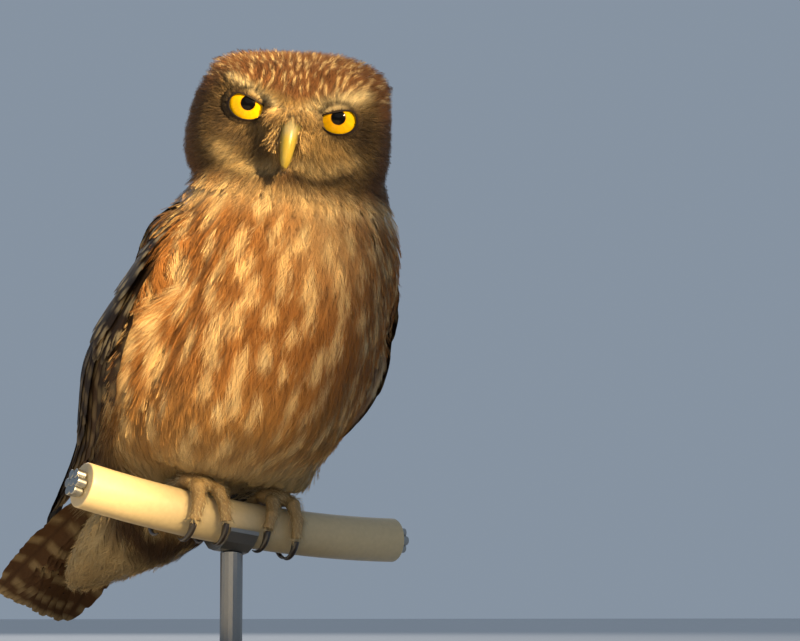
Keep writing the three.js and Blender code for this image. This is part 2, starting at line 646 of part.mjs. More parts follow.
function strands(end) {
  const x = PERCH.offset + end * (PERCH.halfLength + TOUCH_GAP);
  const { middle, along, front, up } = perchFrame(x);
  const out = along.clone().multiplyScalar(end);
  const pieces = [];
  for (let i = 0; i <= STRAND.around; i++) {
    const turn = (i / STRAND.around) * 2 * Math.PI;
    const reach = i === STRAND.around ? 0 : 1.9 * STRAND.radius;
    const start = middle
      .clone()
      .addScaledVector(front, Math.cos(turn) * reach)
      .addScaledVector(up, Math.sin(turn) * reach);
    const stations = [0, 1].map((share) => ({
      at: start.clone().addScaledVector(out, share * STRAND.length),
      wide: STRAND.radius,
      deep: STRAND.radius,
    }));
    pieces.push(solidOf(limb(stations, 6, vec(0, 1, 0))));
  }
  return joined(pieces);
}

// Feet: on each, two toes over the front of the perch and two over its back, with claws that curve round it
const TOES = [
  { digit: 1, along: -3.4, drift: -3, turn: -1, start: 24, end: 88, size: 0.95 },
  { digit: 2, along: -3.6, drift: -3, turn: 1, start: 26, end: 98, size: 1 },
  { digit: 3, along: 3, drift: 1, turn: 1, start: 26, end: 108, size: 1.05 },
  { digit: 4, along: 3.8, drift: 4.5, turn: -1, start: 24, end: 96, size: 1 },
];
const CLAW = { turn: 62, radius: 1.35, tip: 0.2 };
const PALM = { wide: 6.6, deep: 6.2, high: 3.4 };

function onPerch(x, angle, distance) {
  const { middle, front, up } = perchFrame(x);
  return middle
    .addScaledVector(up, Math.cos(angle) * distance)
    .addScaledVector(front, Math.sin(angle) * distance);
}

function palm(side, grow) {
  const x = side * STANCE;
  const lift = PERCH.radius + TOUCH_GAP + PALM.high * 0.75;
  const frame = perchFrame(x);
  const turned = new THREE.Matrix4()
    .makeBasis(frame.along, frame.front.clone().negate(), frame.up)
    .setPosition(onPerch(x, 0, lift));
  const sphere = new THREE.SphereGeometry(1, 12, 7).rotateX(Math.PI / 2);
  sphere.scale(PALM.wide + grow, PALM.deep + grow, PALM.high + grow);
  return solidOf(sphere, turned).subtract(cable(TOUCH_GAP));
}

function toe(side, toeSizes) {
  const radius = TOE_RADIUS * toeSizes.size;
  const steps = 6;
  const stations = Array.from({ length: steps }, (_, i) => {
    const share = i / (steps - 1);
    const angle = degrees(toeSizes.turn * mix(toeSizes.start, toeSizes.end, share));
    const x = side * (STANCE + toeSizes.along + toeSizes.drift * share);
    const pad = radius * (i % 2 ? 1.08 : 0.93) * mix(1.05, 0.85, share);
    return { at: onPerch(x, angle, PERCH.radius + TOUCH_GAP + pad + 0.25), wide: pad, deep: pad };
  });
  return largest(solidOf(limb(stations, 7)).subtract(palm(side, TOUCH_GAP)));
}

function claw(side, toeSizes) {
  const steps = 6;
  const gapTurn = toeSizes.turn * 3.6;
  const stations = Array.from({ length: steps }, (_, i) => {
    const share = i / (steps - 1);
    const angle = degrees(toeSizes.turn * (toeSizes.end + CLAW.turn * share) + gapTurn);
    const x = side * (STANCE + toeSizes.along + toeSizes.drift * (1 + 0.15 * share));
    const radius = mix(CLAW.radius, CLAW.tip, share ** 1.2);
    const clear = 0.5 + 1.5 * Math.sin(Math.PI * share) + (1 - share) * 0.5;
    return { at: onPerch(x, angle, PERCH.radius + TOUCH_GAP + radius + clear), wide: radius, deep: radius };
  });
  return solidOf(limb(stations, 6));
}

// Legs: a soft feathered thigh under the belly, and a short feathered shank down to the palm
function thigh(side) {
  const foot = perchMiddle(side * STANCE).z + PERCH.radius;
  const stations = [
    { at: vec(side * 17, 3, 24), wide: 9, deep: 9 },
    { at: vec(side * 17.5, 1, 15), wide: 13, deep: 14 },
    { at: vec(side * 16.5, 0, foot + 12), wide: 12, deep: 12.5 },
    { at: vec(side * 15.2, 0, foot + 8), wide: 9.5, deep: 9.5 },
    { at: vec(side * 14.4, 0, foot + 5.5), wide: 6, deep: 6 },
  ];
  const rooms = [grownFlesh, undertailSolid(SKIN_GAP), footRoom, shankSolid(side, TOUCH_GAP)];
  return largest(rooms.reduce((rest, room) => rest.subtract(room), solidOf(limb(stations, 16))));
}

function shankSolid(side, grow) {
  const stations = [
    { at: vec(side * 14.6, 0.5, perchMiddle(side * STANCE).z + PERCH.radius + 15), wide: 4.6, deep: 4.8 },
    { at: onPerch(side * STANCE, 0, PERCH.radius + PALM.high), wide: 4.2, deep: 4.4 },
  ];
  return solidOf(limb(grown(stations, grow), 12));
}

const shank = (side) => largest(shankSolid(side, 0).subtract(palm(side, TOUCH_GAP)));

// The stand: an oval base, one short rod and a cradle under the cable
const standFrame = new THREE.Matrix4().makeTranslation(0, -FEET_FROM_MIDDLE, -PERCH_TOP);
const CRADLE = { halfLength: 5, wall: 2.2, opening: 0.35 };

function standBase() {
  const levels = [0, BASE.bevel / 2, BASE.thickness - BASE.bevel, BASE.thickness];
  const insets = [BASE.bevel / 2, 0, 0, BASE.bevel];
  const rings = levels.map((z, i) =>
    Array.from({ length: BASE.sides }, (_, side) => {
      const turn = (side / BASE.sides) * 2 * Math.PI;
      const [wide, long] = [BASE.halfWidth - insets[i], BASE.halfLength - insets[i]];
      return vec(Math.cos(turn) * wide, Math.sin(turn) * long, z);
    }),
  );
  return solidOf(ringSkin(rings, vec(0, 0, 0), vec(0, 0, BASE.thickness)), standFrame);
}

function cradle(grow) {
  const radius = PERCH.radius + TOUCH_GAP + CRADLE.wall + grow;
  const stations = [-1, 1].map((end) => ({
    at: perchMiddle(end * (CRADLE.halfLength + grow)),
    wide: radius,
    deep: radius,
  }));
  const above = new THREE.BoxGeometry(60, 60, 30);
  const { middle, along, front, up } = perchFrame(0);
  const place = new THREE.Matrix4()
    .makeBasis(along, front.clone().negate(), up)
    .setPosition(middle.addScaledVector(up, 15 - CRADLE.opening * PERCH.radius + grow));
  return solidOf(limb(stations, 16, vec(0, 1, 0))).subtract(cable(TOUCH_GAP)).subtract(solidOf(above, place));
}

function standRod() {
  const foot = BASE.thickness + TOUCH_GAP - PERCH_TOP;
  const ends = [foot, -PERCH.radius];
  const stations = ends.map((z) => ({ at: vec(0, 0, z), wide: ROD_RADIUS, deep: ROD_RADIUS }));
  return largest(solidOf(limb(stations, 16)).subtract(cradle(TOUCH_GAP)).subtract(cable(TOUCH_GAP)));
}

const torsoRooms = [footRoom, shankSolid(-1, TOUCH_GAP), shankSolid(1, TOUCH_GAP)];
const torso = largest(torsoRooms.reduce((rest, room) => rest.subtract(room), torsoFlesh));

// The scene: one named mesh for each part
const part = new THREE.Group();
part.name = "little_owl";
part.position.set(0, FEET_FROM_MIDDLE, PERCH_TOP);

function show(name, solid, color, roughness, metalness = 0) {
  const material = new THREE.MeshStandardMaterial({ color, roughness, metalness });
  const mesh = new THREE.Mesh(geometryOf(largest(solid.asOriginal().simplify(0.02))), material);
  mesh.name = name;
  part.add(mesh);
}

show("head", largest(headFlesh.subtract(headCuts)), COLOUR.head, 0.9);
show("neck", neckFlesh, COLOUR.breast, 0.9);
show("torso", torso, COLOUR.breast, 0.9);
show("undertail", undertail, COLOUR.pale, 0.9);
show("tail", tail, COLOUR.tail, 0.8);
show("bill_upper", billUpper, COLOUR.bill, 0.4);
show("bill_lower", billLower, COLOUR.bill, 0.4);
for (const [name, side] of [["left", 1], ["right", -1]]) {
  show(`eye_${name}`, eyes[name].eye, COLOUR.iris, 0.1);
  show(`eyelid_${name}`, eyes[name].lid, COLOUR.lid, 0.6);
  show(`wing_${name}`, wing(side), COLOUR.wing, 0.8);
  show(`thigh_${name}`, thigh(side), COLOUR.pale, 0.9);
  show(`shank_${name}`, shank(side), COLOUR.pale, 0.9);
  show(`foot_${name}`, palm(side, 0), COLOUR.toe, 0.7);
  for (const sizes of TOES) {
    show(`toe_${name}_${sizes.digit}`, toe(side, sizes), COLOUR.toe, 0.7);
    show(`claw_${name}_${sizes.digit}`, claw(side, sizes), COLOUR.claw, 0.35);
  }
}
show("perch_cable", cable(0), COLOUR.sheath, 0.5);
show("perch_strands_left", strands(1), COLOUR.strand, 0.35, 1);
show("perch_strands_right", strands(-1), COLOUR.strand, 0.35, 1);
show("stand_base", standBase(), COLOUR.wood, 0.5);
show("stand_rod", standRod(), COLOUR.steel, 0.35, 1);
show("stand_cradle", cradle(0), COLOUR.steel, 0.35, 1);

export default part;
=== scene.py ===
# A little owl, life size, perched on a short cut length of sheathed cable that a plain display stand holds.
# The bird is worked out in millimetres in a frame at the top of the perch, as its solids are: it faces -Y,
# its left side is +X, and +Z is up. Blender's metres come in only where a mesh is made.
import json
import math

import bpy
import numpy as np
from mathutils.bvhtree import BVHTree
from mathutils.kdtree import KDTree
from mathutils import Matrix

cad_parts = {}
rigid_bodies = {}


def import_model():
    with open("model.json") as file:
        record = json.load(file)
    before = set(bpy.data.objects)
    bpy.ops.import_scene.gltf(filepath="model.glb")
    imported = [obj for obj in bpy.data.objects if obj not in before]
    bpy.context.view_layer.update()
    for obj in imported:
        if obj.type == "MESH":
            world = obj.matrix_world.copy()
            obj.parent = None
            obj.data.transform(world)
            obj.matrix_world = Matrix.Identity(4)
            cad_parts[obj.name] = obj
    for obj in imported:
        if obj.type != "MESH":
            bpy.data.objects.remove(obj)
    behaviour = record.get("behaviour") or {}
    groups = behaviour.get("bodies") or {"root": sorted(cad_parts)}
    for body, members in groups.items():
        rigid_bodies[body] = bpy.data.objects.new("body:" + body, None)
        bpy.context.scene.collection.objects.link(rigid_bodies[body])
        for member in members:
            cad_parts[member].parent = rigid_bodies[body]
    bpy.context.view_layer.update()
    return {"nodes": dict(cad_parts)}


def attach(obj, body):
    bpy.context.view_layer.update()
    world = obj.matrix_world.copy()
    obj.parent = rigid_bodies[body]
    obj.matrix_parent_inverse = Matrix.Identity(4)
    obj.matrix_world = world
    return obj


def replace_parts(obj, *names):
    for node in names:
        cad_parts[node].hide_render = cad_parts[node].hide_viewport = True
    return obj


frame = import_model()
nodes = frame["nodes"]


# The room: a plain pale floor under a pale sky, a low warm light from the front right whose edge leaves the
# bird's left side in shade, two weak soft lights, and the camera where the photograph was taken from.
def room_finish(name, colour):
    finish = bpy.data.materials.new(name)
    finish.use_nodes = True
    shader = finish.node_tree.nodes["Principled BSDF"]
    shader.inputs["Base Color"].default_value = (*colour, 1)
    shader.inputs["Roughness"].default_value = 0.95
    shader.inputs["Specular IOR Level"].default_value = 0.1
    return finish


def lamp(name, kind, place, aim, energy, colour):
    data = bpy.data.lights.new(name, kind)
    data.energy = energy
    data.color = colour
    light = bpy.data.objects.new(name, data)
    bpy.context.scene.collection.objects.link(light)
    light.location = place
    reach = [a - p for a, p in zip(aim, place)]
    light.rotation_euler = (
        math.atan2(math.hypot(reach[0], reach[1]), -reach[2]),
        0,
        math.atan2(-reach[0], reach[1]),
    )
    return data


def soft_lamp(name, place, size, energy, colour):
    data = lamp(name, "AREA", place, BREAST, energy, colour)
    data.shape = "DISK"
    data.size = size


CAMERA_PLACE = (-0.40483, -0.71731, 0.01722)
CAMERA_TURN = (96.5, 0, -34)
CAMERA_LENS = 116.15
BREAST = (0, -0.03, 0.12)
BESIDE_THE_BIRD = (-0.541, -0.087, 0.27)

camera_data = bpy.data.cameras.new("camera")
camera_data.lens = CAMERA_LENS
camera_data.sensor_width = 36
camera_data.clip_start = 0.05
camera = bpy.data.objects.new("camera", camera_data)
bpy.context.scene.collection.objects.link(camera)
camera.location = CAMERA_PLACE
camera.rotation_euler = [math.radians(a) for a in CAMERA_TURN]
bpy.context.scene.camera = camera

floor_mesh = bpy.data.meshes.new("floor")
floor_mesh.from_pydata([(-8, -8, 0), (8, -8, 0), (8, 8, 0), (-8, 8, 0)], [], [(0, 1, 2, 3)])
floor = bpy.data.objects.new("floor", floor_mesh)
bpy.context.scene.collection.objects.link(floor)
floor_mesh.materials.append(room_finish("pale floor", (0.68, 0.69, 0.7)))

world = bpy.data.worlds.new("pale room")
bpy.context.scene.world = world
world.use_nodes = True
world.node_tree.nodes["Background"].inputs["Color"].default_value = (0.6, 0.73, 0.9, 1)
world.node_tree.nodes["Background"].inputs["Strength"].default_value = 0.4
bpy.context.scene.view_settings.view_transform = "Standard"

low_sun = lamp("low sun", "SPOT", (0.15, -1.55, 0.59), BESIDE_THE_BIRD, 430, (1, 0.71, 0.34))
low_sun.spot_size = math.radians(40)
low_sun.spot_blend = 0.04
low_sun.shadow_soft_size = 0.03
soft_lamp("soft fill", (-0.6, -1.2, 0.6), 0.9, 1.3, (1, 0.93, 0.84))
soft_lamp("rim", (0.4, 1.2, 0.8), 0.7, 4, (1, 0.95, 0.9))


# The display stand: a turned oval base of stained wood, a steel rod in its middle and a steel cradle under
# the cable, shown as their solids are. Every finish here and below is one colour or a vertex colour, broken
# up by a shared group in soft patches and fine specks, over the bump of a fine grain.
def node(tree, kind, **settings):
    made = tree.nodes.new(kind)
    for key, value in settings.items():
        if key in made.inputs:
            made.inputs[key].default_value = value
        else:
            setattr(made, key, value)
    return made


def shader_group(name, inputs, outputs):
    group = bpy.data.node_groups.new(name, "ShaderNodeTree")
    for label, kind, value in inputs:
        socket = group.interface.new_socket(label, in_out="INPUT", socket_type=kind)
        socket.default_value = value
    for label, kind in outputs:
        group.interface.new_socket(label, in_out="OUTPUT", socket_type=kind)
    return group, group.nodes.new("NodeGroupInput"), group.nodes.new("NodeGroupOutput")


def mottle_group():
    inputs = [
        ("Colour", "NodeSocketColor", (0.5, 0.5, 0.5, 1)),
        ("Patch Scale", "NodeSocketFloat", 60.0),
        ("Speck Scale", "NodeSocketFloat", 900.0),
        ("Amount", "NodeSocketFloat", 0.2),
    ]
    group, given, out = shader_group("mottle", inputs, [("Colour", "NodeSocketColor")])
    place = node(group, "ShaderNodeTexCoord")
    patch = node(group, "ShaderNodeTexNoise", Detail=3.0)
    speck = node(group, "ShaderNodeTexNoise", Detail=1.0)
    both = node(group, "ShaderNodeMath", operation="ADD")
    centred = node(group, "ShaderNodeMath", operation="SUBTRACT")
    centred.inputs[1].default_value = 1.0
    scaled = node(group, "ShaderNodeMath", operation="MULTIPLY_ADD")
    scaled.inputs[2].default_value = 1.0
    tinted = node(group, "ShaderNodeVectorMath", operation="SCALE")
    link = group.links.new
    for noise, label in [(patch, "Patch Scale"), (speck, "Speck Scale")]:
        link(place.outputs["Object"], noise.inputs["Vector"])
        link(given.outputs[label], noise.inputs["Scale"])
    link(patch.outputs[0], both.inputs[0])
    link(speck.outputs[0], both.inputs[1])
    link(both.outputs[0], centred.inputs[0])
    link(centred.outputs[0], scaled.inputs[0])
    link(given.outputs["Amount"], scaled.inputs[1])
    link(given.outputs["Colour"], tinted.inputs[0])
    link(scaled.outputs[0], tinted.inputs["Scale"])
    link(tinted.outputs[0], out.inputs["Colour"])
    return group


def grain_group():
    inputs = [
        ("Scale", "NodeSocketFloat", 800.0),
        ("Stretch", "NodeSocketVector", (1.0, 1.0, 1.0)),
    ]
    group, given, out = shader_group("grain", inputs, [("Height", "NodeSocketFloat")])
    place = node(group, "ShaderNodeTexCoord")
    stretched = node(group, "ShaderNodeVectorMath", operation="MULTIPLY")
    noise = node(group, "ShaderNodeTexNoise", Detail=4.0)
    group.links.new(place.outputs["Object"], stretched.inputs[0])
    group.links.new(given.outputs["Stretch"], stretched.inputs[1])
    group.links.new(stretched.outputs[0], noise.inputs["Vector"])
    group.links.new(given.outputs["Scale"], noise.inputs["Scale"])
    group.links.new(noise.outputs[0], out.inputs["Height"])
    return group


MOTTLE = mottle_group()
GRAIN = grain_group()


def linear(code):
    """A screen colour such as "a8744a" as the light it stands for."""
    shares = [int(code[i : i + 2], 16) / 255 for i in (0, 2, 4)]
    return np.array([s / 12.92 if s <= 0.04045 else ((s + 0.055) / 1.055) ** 2.4 for s in shares])


def finish(name, colour=None, attribute=None, roughness=0.6, mottle=(60, 900, 0.2), bump=(800, 0.2, 0.0002),
           stretch=(1, 1, 1), **plain):
    made = bpy.data.materials.new(name)
    made.use_nodes = True
    tree = made.node_tree
    shader = tree.nodes["Principled BSDF"]
    shader.inputs["Roughness"].default_value = roughness
    for label, value in plain.items():
        shader.inputs[label.replace("_", " ")].default_value = value
    mottled = node(tree, "ShaderNodeGroup", node_tree=MOTTLE)
    mottled.inputs["Patch Scale"].default_value = mottle[0]
    mottled.inputs["Speck Scale"].default_value = mottle[1]
    mottled.inputs["Amount"].default_value = mottle[2]
    if attribute:
        source = node(tree, "ShaderNodeVertexColor", layer_name=attribute)
        tree.links.new(source.outputs["Color"], mottled.inputs["Colour"])
    else:
        mottled.inputs["Colour"].default_value = (*linear(colour), 1)
    tree.links.new(mottled.outputs["Colour"], shader.inputs["Base Color"])
    grain = node(tree, "ShaderNodeGroup", node_tree=GRAIN)
    grain.inputs["Scale"].default_value = bump[0]
    grain.inputs["Stretch"].default_value = stretch
    lumps = node(tree, "ShaderNodeBump", Strength=bump[1], Distance=bump[2])
    tree.links.new(grain.outputs["Height"], lumps.inputs["Height"])
    tree.links.new(lumps.outputs["Normal"], shader.inputs["Normal"])
    return made


wood = finish("stained wood", "8a7f72", roughness=0.45, mottle=(30, 400, 0.35), bump=(60, 0.25, 0.0004),
              stretch=(1, 14, 1), Coat_Weight=0.25)
steel = finish("brushed steel", "9c9c9a", roughness=0.34, mottle=(90, 1500, 0.15), bump=(300, 0.12, 0.0001),
               stretch=(1, 1, 20), Metallic=1.0)


def dress(name, material):
    owner = nodes[name]
    for place in owner.material_slots:
        place.material = material


dress("stand_base", wood)
dress("stand_rod", steel)
dress("stand_cradle", steel)


# The perch: a cut length of thick cable in a cream plastic sheath, dulled by weather, with the ends of its
# steel strands standing out of the cuts. A swept tube with rounded rims takes the place of the plain one.
FEET = np.array([0.0, -24.0, 52.5])
PERCH_RADIUS = 7.0
PERCH_HALF = 56.0
PERCH_OFFSET = 4.0
PERCH_SLOPE = math.tan(math.radians(8))
PERCH_BOW = 0.0011
GAP = 0.3


def unit(v):
    return v / np.maximum(np.linalg.norm(v, axis=-1, keepdims=True), 1e-12)


def piece(name, points, faces, material, colours=None, patches=None):
    """A mesh object from millimetre points of the bird's frame, with a colour and a patch for each point."""
    mesh = bpy.data.meshes.new(name)
    mesh.vertices.add(len(points))
    mesh.vertices.foreach_set("co", ((np.asarray(points) + FEET) * 0.001).astype(np.float32).ravel())
    faces = np.asarray(faces, np.int32)
    mesh.loops.add(faces.size)
    mesh.loops.foreach_set("vertex_index", faces.ravel())
    mesh.polygons.add(len(faces))
    mesh.polygons.foreach_set("loop_start", np.arange(0, faces.size, faces.shape[1], dtype=np.int32))
    mesh.update(calc_edges=True)
    mesh.polygons.foreach_set("use_smooth", np.ones(len(faces), bool))
    if colours is not None:
        layer = mesh.color_attributes.new("plumage", "FLOAT_COLOR", "POINT")
        opaque = np.concatenate([colours, np.ones((len(points), 1))], axis=1)
        layer.data.foreach_set("color", opaque.astype(np.float32).ravel())
    if patches is not None:
        layer = mesh.uv_layers.new(name="OFBake")
        layer.data.foreach_set("uv", patches[faces.ravel()].astype(np.float32).ravel())
    mesh.materials.append(material)
    made = bpy.data.objects.new(name, mesh)
    bpy.context.scene.collection.objects.link(made)
    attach(made, "root")
    return made


def ring_faces(rings, sides, closed=True):
    """Quads between rings of points that follow each other."""
    around = np.arange(sides if closed else sides - 1)
    after = (around + 1) % sides
    rows = np.arange(rings - 1)[:, None] * sides
    quads = np.stack([rows + around, rows + after, rows + sides + after, rows + sides + around], axis=-1)
    return quads.reshape(-1, 4)


def swept(centres, wide, deep, across, sides):
    """Rings square to a line of centres, with half sizes along two directions."""
    ahead = unit(np.gradient(centres, axis=0))
    wide_way = unit(across - ahead * np.sum(across * ahead, axis=1, keepdims=True))
    deep_way = np.cross(ahead, wide_way)
    turn = np.linspace(0, 2 * math.pi, sides, endpoint=False)
    ring = (
        wide_way[:, None] * (np.cos(turn)[None, :, None] * wide[:, None, None])
        + deep_way[:, None] * (np.sin(turn)[None, :, None] * deep[:, None, None])
    )
    return (centres[:, None] + ring).reshape(-1, 3)


def capped(points, rings, sides):
    """The tube's points and triangles, with its two ends closed by a middle point each."""
    quads = ring_faces(rings, sides)
    first, last = points[:sides].mean(0), points[-sides:].mean(0)
    count = len(points)
    around = np.arange(sides)
    after = (around + 1) % sides
    end = (rings - 1) * sides
    cap_a = np.stack([np.full(sides, count), after, around], axis=1)
    cap_b = np.stack([np.full(sides, count + 1), end + around, end + after], axis=1)
    halves = np.concatenate([quads[:, [0, 1, 2]], quads[:, [0, 2, 3]]])
    return np.concatenate([points, [first, last]]), np.concatenate([halves, cap_a, cap_b])


def perch_middle(x):
    x = np.asarray(x, float)
    return np.stack([x, 0 * x, -PERCH_RADIUS - x * PERCH_SLOPE + PERCH_BOW * x * x], axis=-1)


def tube(centres, wide, deep, sides, across=(0, 1, 0), rim=0.0):
    """A closed tube, with its rims rounded by a small radius where one is given."""
    centres, wide, deep = (np.asarray(v, float) for v in (centres, wide, deep))
    if rim:
        turn = np.linspace(0, math.pi / 2, 5)
        first, last = centres[0], centres[-1]
        start, end = unit(centres[1] - first), unit(last - centres[-2])
        lead = [first + start * rim * (1 - math.sin(a)) for a in turn]
        tail = [last - end * rim * (1 - math.sin(a)) for a in turn[::-1]]
        inset = np.array([rim * (1 - math.cos(a)) for a in turn])
        centres = np.concatenate([lead[::-1], centres[1:-1], tail[::-1]])
        wide = np.concatenate([wide[0] - inset[::-1], wide[1:-1], wide[-1] - inset])
        deep = np.concatenate([deep[0] - inset[::-1], deep[1:-1], deep[-1] - inset])
    points = swept(centres, wide, deep, np.asarray(across, float), sides)
    return capped(points, len(centres), sides)


sheath_finish = finish("cream sheath", "c6b48d", roughness=0.42, mottle=(45, 700, 0.18),
                       bump=(500, 0.1, 0.0002), Coat_Weight=0.15)
strand_finish = finish("steel strand", "a9aaa8", roughness=0.36, mottle=(200, 2500, 0.25),
                       bump=(1500, 0.2, 0.0001), Metallic=1.0)
sheath_x = PERCH_OFFSET + np.linspace(-PERCH_HALF, PERCH_HALF, 61)
sheath_radius = np.full(61, PERCH_RADIUS)
sheath_mesh = tube(perch_middle(sheath_x), sheath_radius, sheath_radius, 64, rim=0.5)
cable = piece("cable_sheath", *sheath_mesh, sheath_finish)
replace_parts(cable, "perch_cable")


def joined(parts):
    """Several sets of points and faces as one."""
    points, faces = zip(*parts)
    firsts = np.cumsum([0] + [len(some) for some in points[:-1]])
    return np.concatenate(points), np.concatenate([some + first for some, first in zip(faces, firsts)])


STRAND_RADIUS = 1.5
STRAND_LENGTH = 3.2
STRAND_SPREAD = 1.9
STRAND_TWIST = 0.07


def strand_end(name, end):
    x = PERCH_OFFSET + end * (PERCH_HALF + GAP)
    ahead = unit(perch_middle(x + 0.5) - perch_middle(x - 0.5)) * end
    front = np.array([0.0, -1.0, 0.0])
    up = np.cross(front, ahead * end)
    share = np.linspace(0, 1, 7)[:, None]
    size = np.full(7, STRAND_RADIUS)
    strands = []
    for i in range(7):
        turn = i / 6 * 2 * math.pi
        reach = 0 if i == 6 else STRAND_SPREAD * STRAND_RADIUS
        start = perch_middle(x) + front * math.cos(turn) * reach + up * math.sin(turn) * reach
        lay = np.cross(ahead, start - perch_middle(x)) * STRAND_TWIST
        line = start + share * (ahead * STRAND_LENGTH + lay)
        strands.append(tube(line, size, size, 18, rim=0.3))
    made = piece(name, *joined(strands), strand_finish)
    return made


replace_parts(strand_end("strand_ends_left", 1), "perch_strands_left")
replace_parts(strand_end("strand_ends_right", -1), "perch_strands_right")


# The skin: one closed surface under the whole coat, from head to feet, with the arms of the folded wings in
# it. It is remeshed from the solids of flesh, smoothed, drawn in by the depth of the feathers over it and
# hollowed behind the eyeballs.
def turn_about(axis, degrees):
    c, s = math.cos(math.radians(degrees)), math.sin(math.radians(degrees))
    rows = {
        "x": [[1, 0, 0], [0, c, -s], [0, s, c]],
        "y": [[c, 0, s], [0, 1, 0], [-s, 0, c]],
        "z": [[c, -s, 0], [s, c, 0], [0, 0, 1]],
    }
    return np.array(rows[axis])


BODY_TURN = turn_about("y", 4.9)
HEAD_TURN = turn_about("z", -31.5) @ turn_about("x", 10.5) @ turn_about("y", 8.7)
HEAD_MIDDLE = BODY_TURN @ np.array([-1.4, -20.0, 116.5])
EYE = np.array([13.8, -14.6, 3.2])

TRUNK = np.array([
    [3.5, 0, 32, 13], [7, -12, 41, 24], [13, -28, 46, 33], [23, -37.5, 45.5, 37], [35, -43.5, 42, 38.2],
    [48, -48, 37, 38.2], [61, -49.5, 31, 38], [74, -48.5, 25, 38.5], [85, -45.5, 20, 37], [95, -41.5, 15, 34],
    [104, -38, 11, 31.5], [113, -34, 7, 27],
])


def clamp01(t):
    return np.clip(t, 0, 1)


def ease(t):
    t = clamp01(t)
    return t * t * (3 - 2 * t)


def hill(distance, width):
    return np.exp(-((distance / width) ** 2))


def mix(a, b, t):
    return a + (b - a) * t


def in_head(points):
    return (points - HEAD_MIDDLE) @ HEAD_TURN


def from_head(points):
    return np.asarray(points, float) @ HEAD_TURN.T + HEAD_MIDDLE


def in_body(points):
    return points @ BODY_TURN


def from_body(points):
    return np.asarray(points, float) @ BODY_TURN.T


def bend(z):
    return -3.4 * ease((52 - z) / 40) + 4 * ease((z - 42) / 46)


def wing_bend(z):
    return -2.2 * ease((28 - z) / 24) + 4 * ease((z - 42) / 46)


def trunk_at(z):
    """The trunk's middle, half depth and half width at heights over the perch."""
    heights = TRUNK[:, 0]
    last = len(TRUNK) - 1
    upper = np.clip(np.searchsorted(heights, z), 1, last)
    t = clamp01((z - heights[upper - 1]) / (heights[upper] - heights[upper - 1]))
    values = []
    for column in (1, 2, 3):
        a, b, c, d = (TRUNK[np.clip(upper + k, 0, last), column] for k in (-2, -1, 0, 1))
        values.append(b + 0.5 * t * (c - a + t * (2 * a - 5 * b + 4 * c - d + t * (3 * (b - c) + d - a))))
    front, back, half = values
    return (front + back) / 2, (back - front) / 2, half


def beside_trunk(points, distance):
    middle, depth, half = trunk_at(np.maximum(TRUNK[0, 0], points[..., 2]))
    aside = points[..., 0] - bend(points[..., 2])
    ahead = points[..., 1] - middle
    reach = np.maximum(np.hypot(aside / (half + distance), ahead / (depth + distance)), 1e-6)
    moved = np.stack([bend(points[..., 2]) + aside / reach, middle + ahead / reach, points[..., 2]], axis=-1)
    return reach, moved


TAIL_ROOT = np.array([-9.5, 36.0, 11.0])
TAIL_TIP = np.array([-22.0, 100.0, -34.5])
TAIL_LENGTH = float(np.linalg.norm(TAIL_TIP - TAIL_ROOT))
tail_along = unit(TAIL_TIP - TAIL_ROOT)
tail_across = unit(np.array([tail_along[1], -tail_along[0], 0.0]))
tail_axes = np.stack([tail_across, tail_along, np.cross(tail_across, tail_along)], axis=1)
TAIL_TURN = tail_axes @ turn_about("y", 28)


def on_tail(points):
    return np.asarray(points, float) @ TAIL_TURN.T + TAIL_ROOT


def smooth_line(points, steps=241):
    """Many points along the curve through a few, evenly by the few."""
    points = np.asarray(points, float)
    ends = np.concatenate([[2 * points[0] - points[1]], points, [2 * points[-1] - points[-2]]])
    share = np.linspace(0, len(points) - 1, steps)
    start = np.minimum(share.astype(int), len(points) - 2)
    w = (share - start)[:, None]
    p0, p1, p2, p3 = (ends[start + k] for k in range(4))
    d0, d1, d2 = (np.maximum(np.linalg.norm(b - a, axis=1, keepdims=True) ** 0.5, 1e-4)
                  for a, b in ((p0, p1), (p1, p2), (p2, p3)))
    t1 = ((p1 - p0) / d0 - (p2 - p0) / (d0 + d1) + (p2 - p1) / d1) * d1
    t2 = ((p2 - p1) / d1 - (p3 - p1) / (d1 + d2) + (p3 - p2) / d2) * d1
    return p1 + w * (t1 + w * (-3 * p1 + 3 * p2 - 2 * t1 - t2 + w * (2 * p1 - 2 * p2 + t1 + t2)))


def along_line(line, share):
    at = clamp01(share) * (len(line) - 1)
    low = np.minimum(at.astype(int), len(line) - 2)
    return line[low] + (line[low + 1] - line[low]) * (at - low)[..., None]


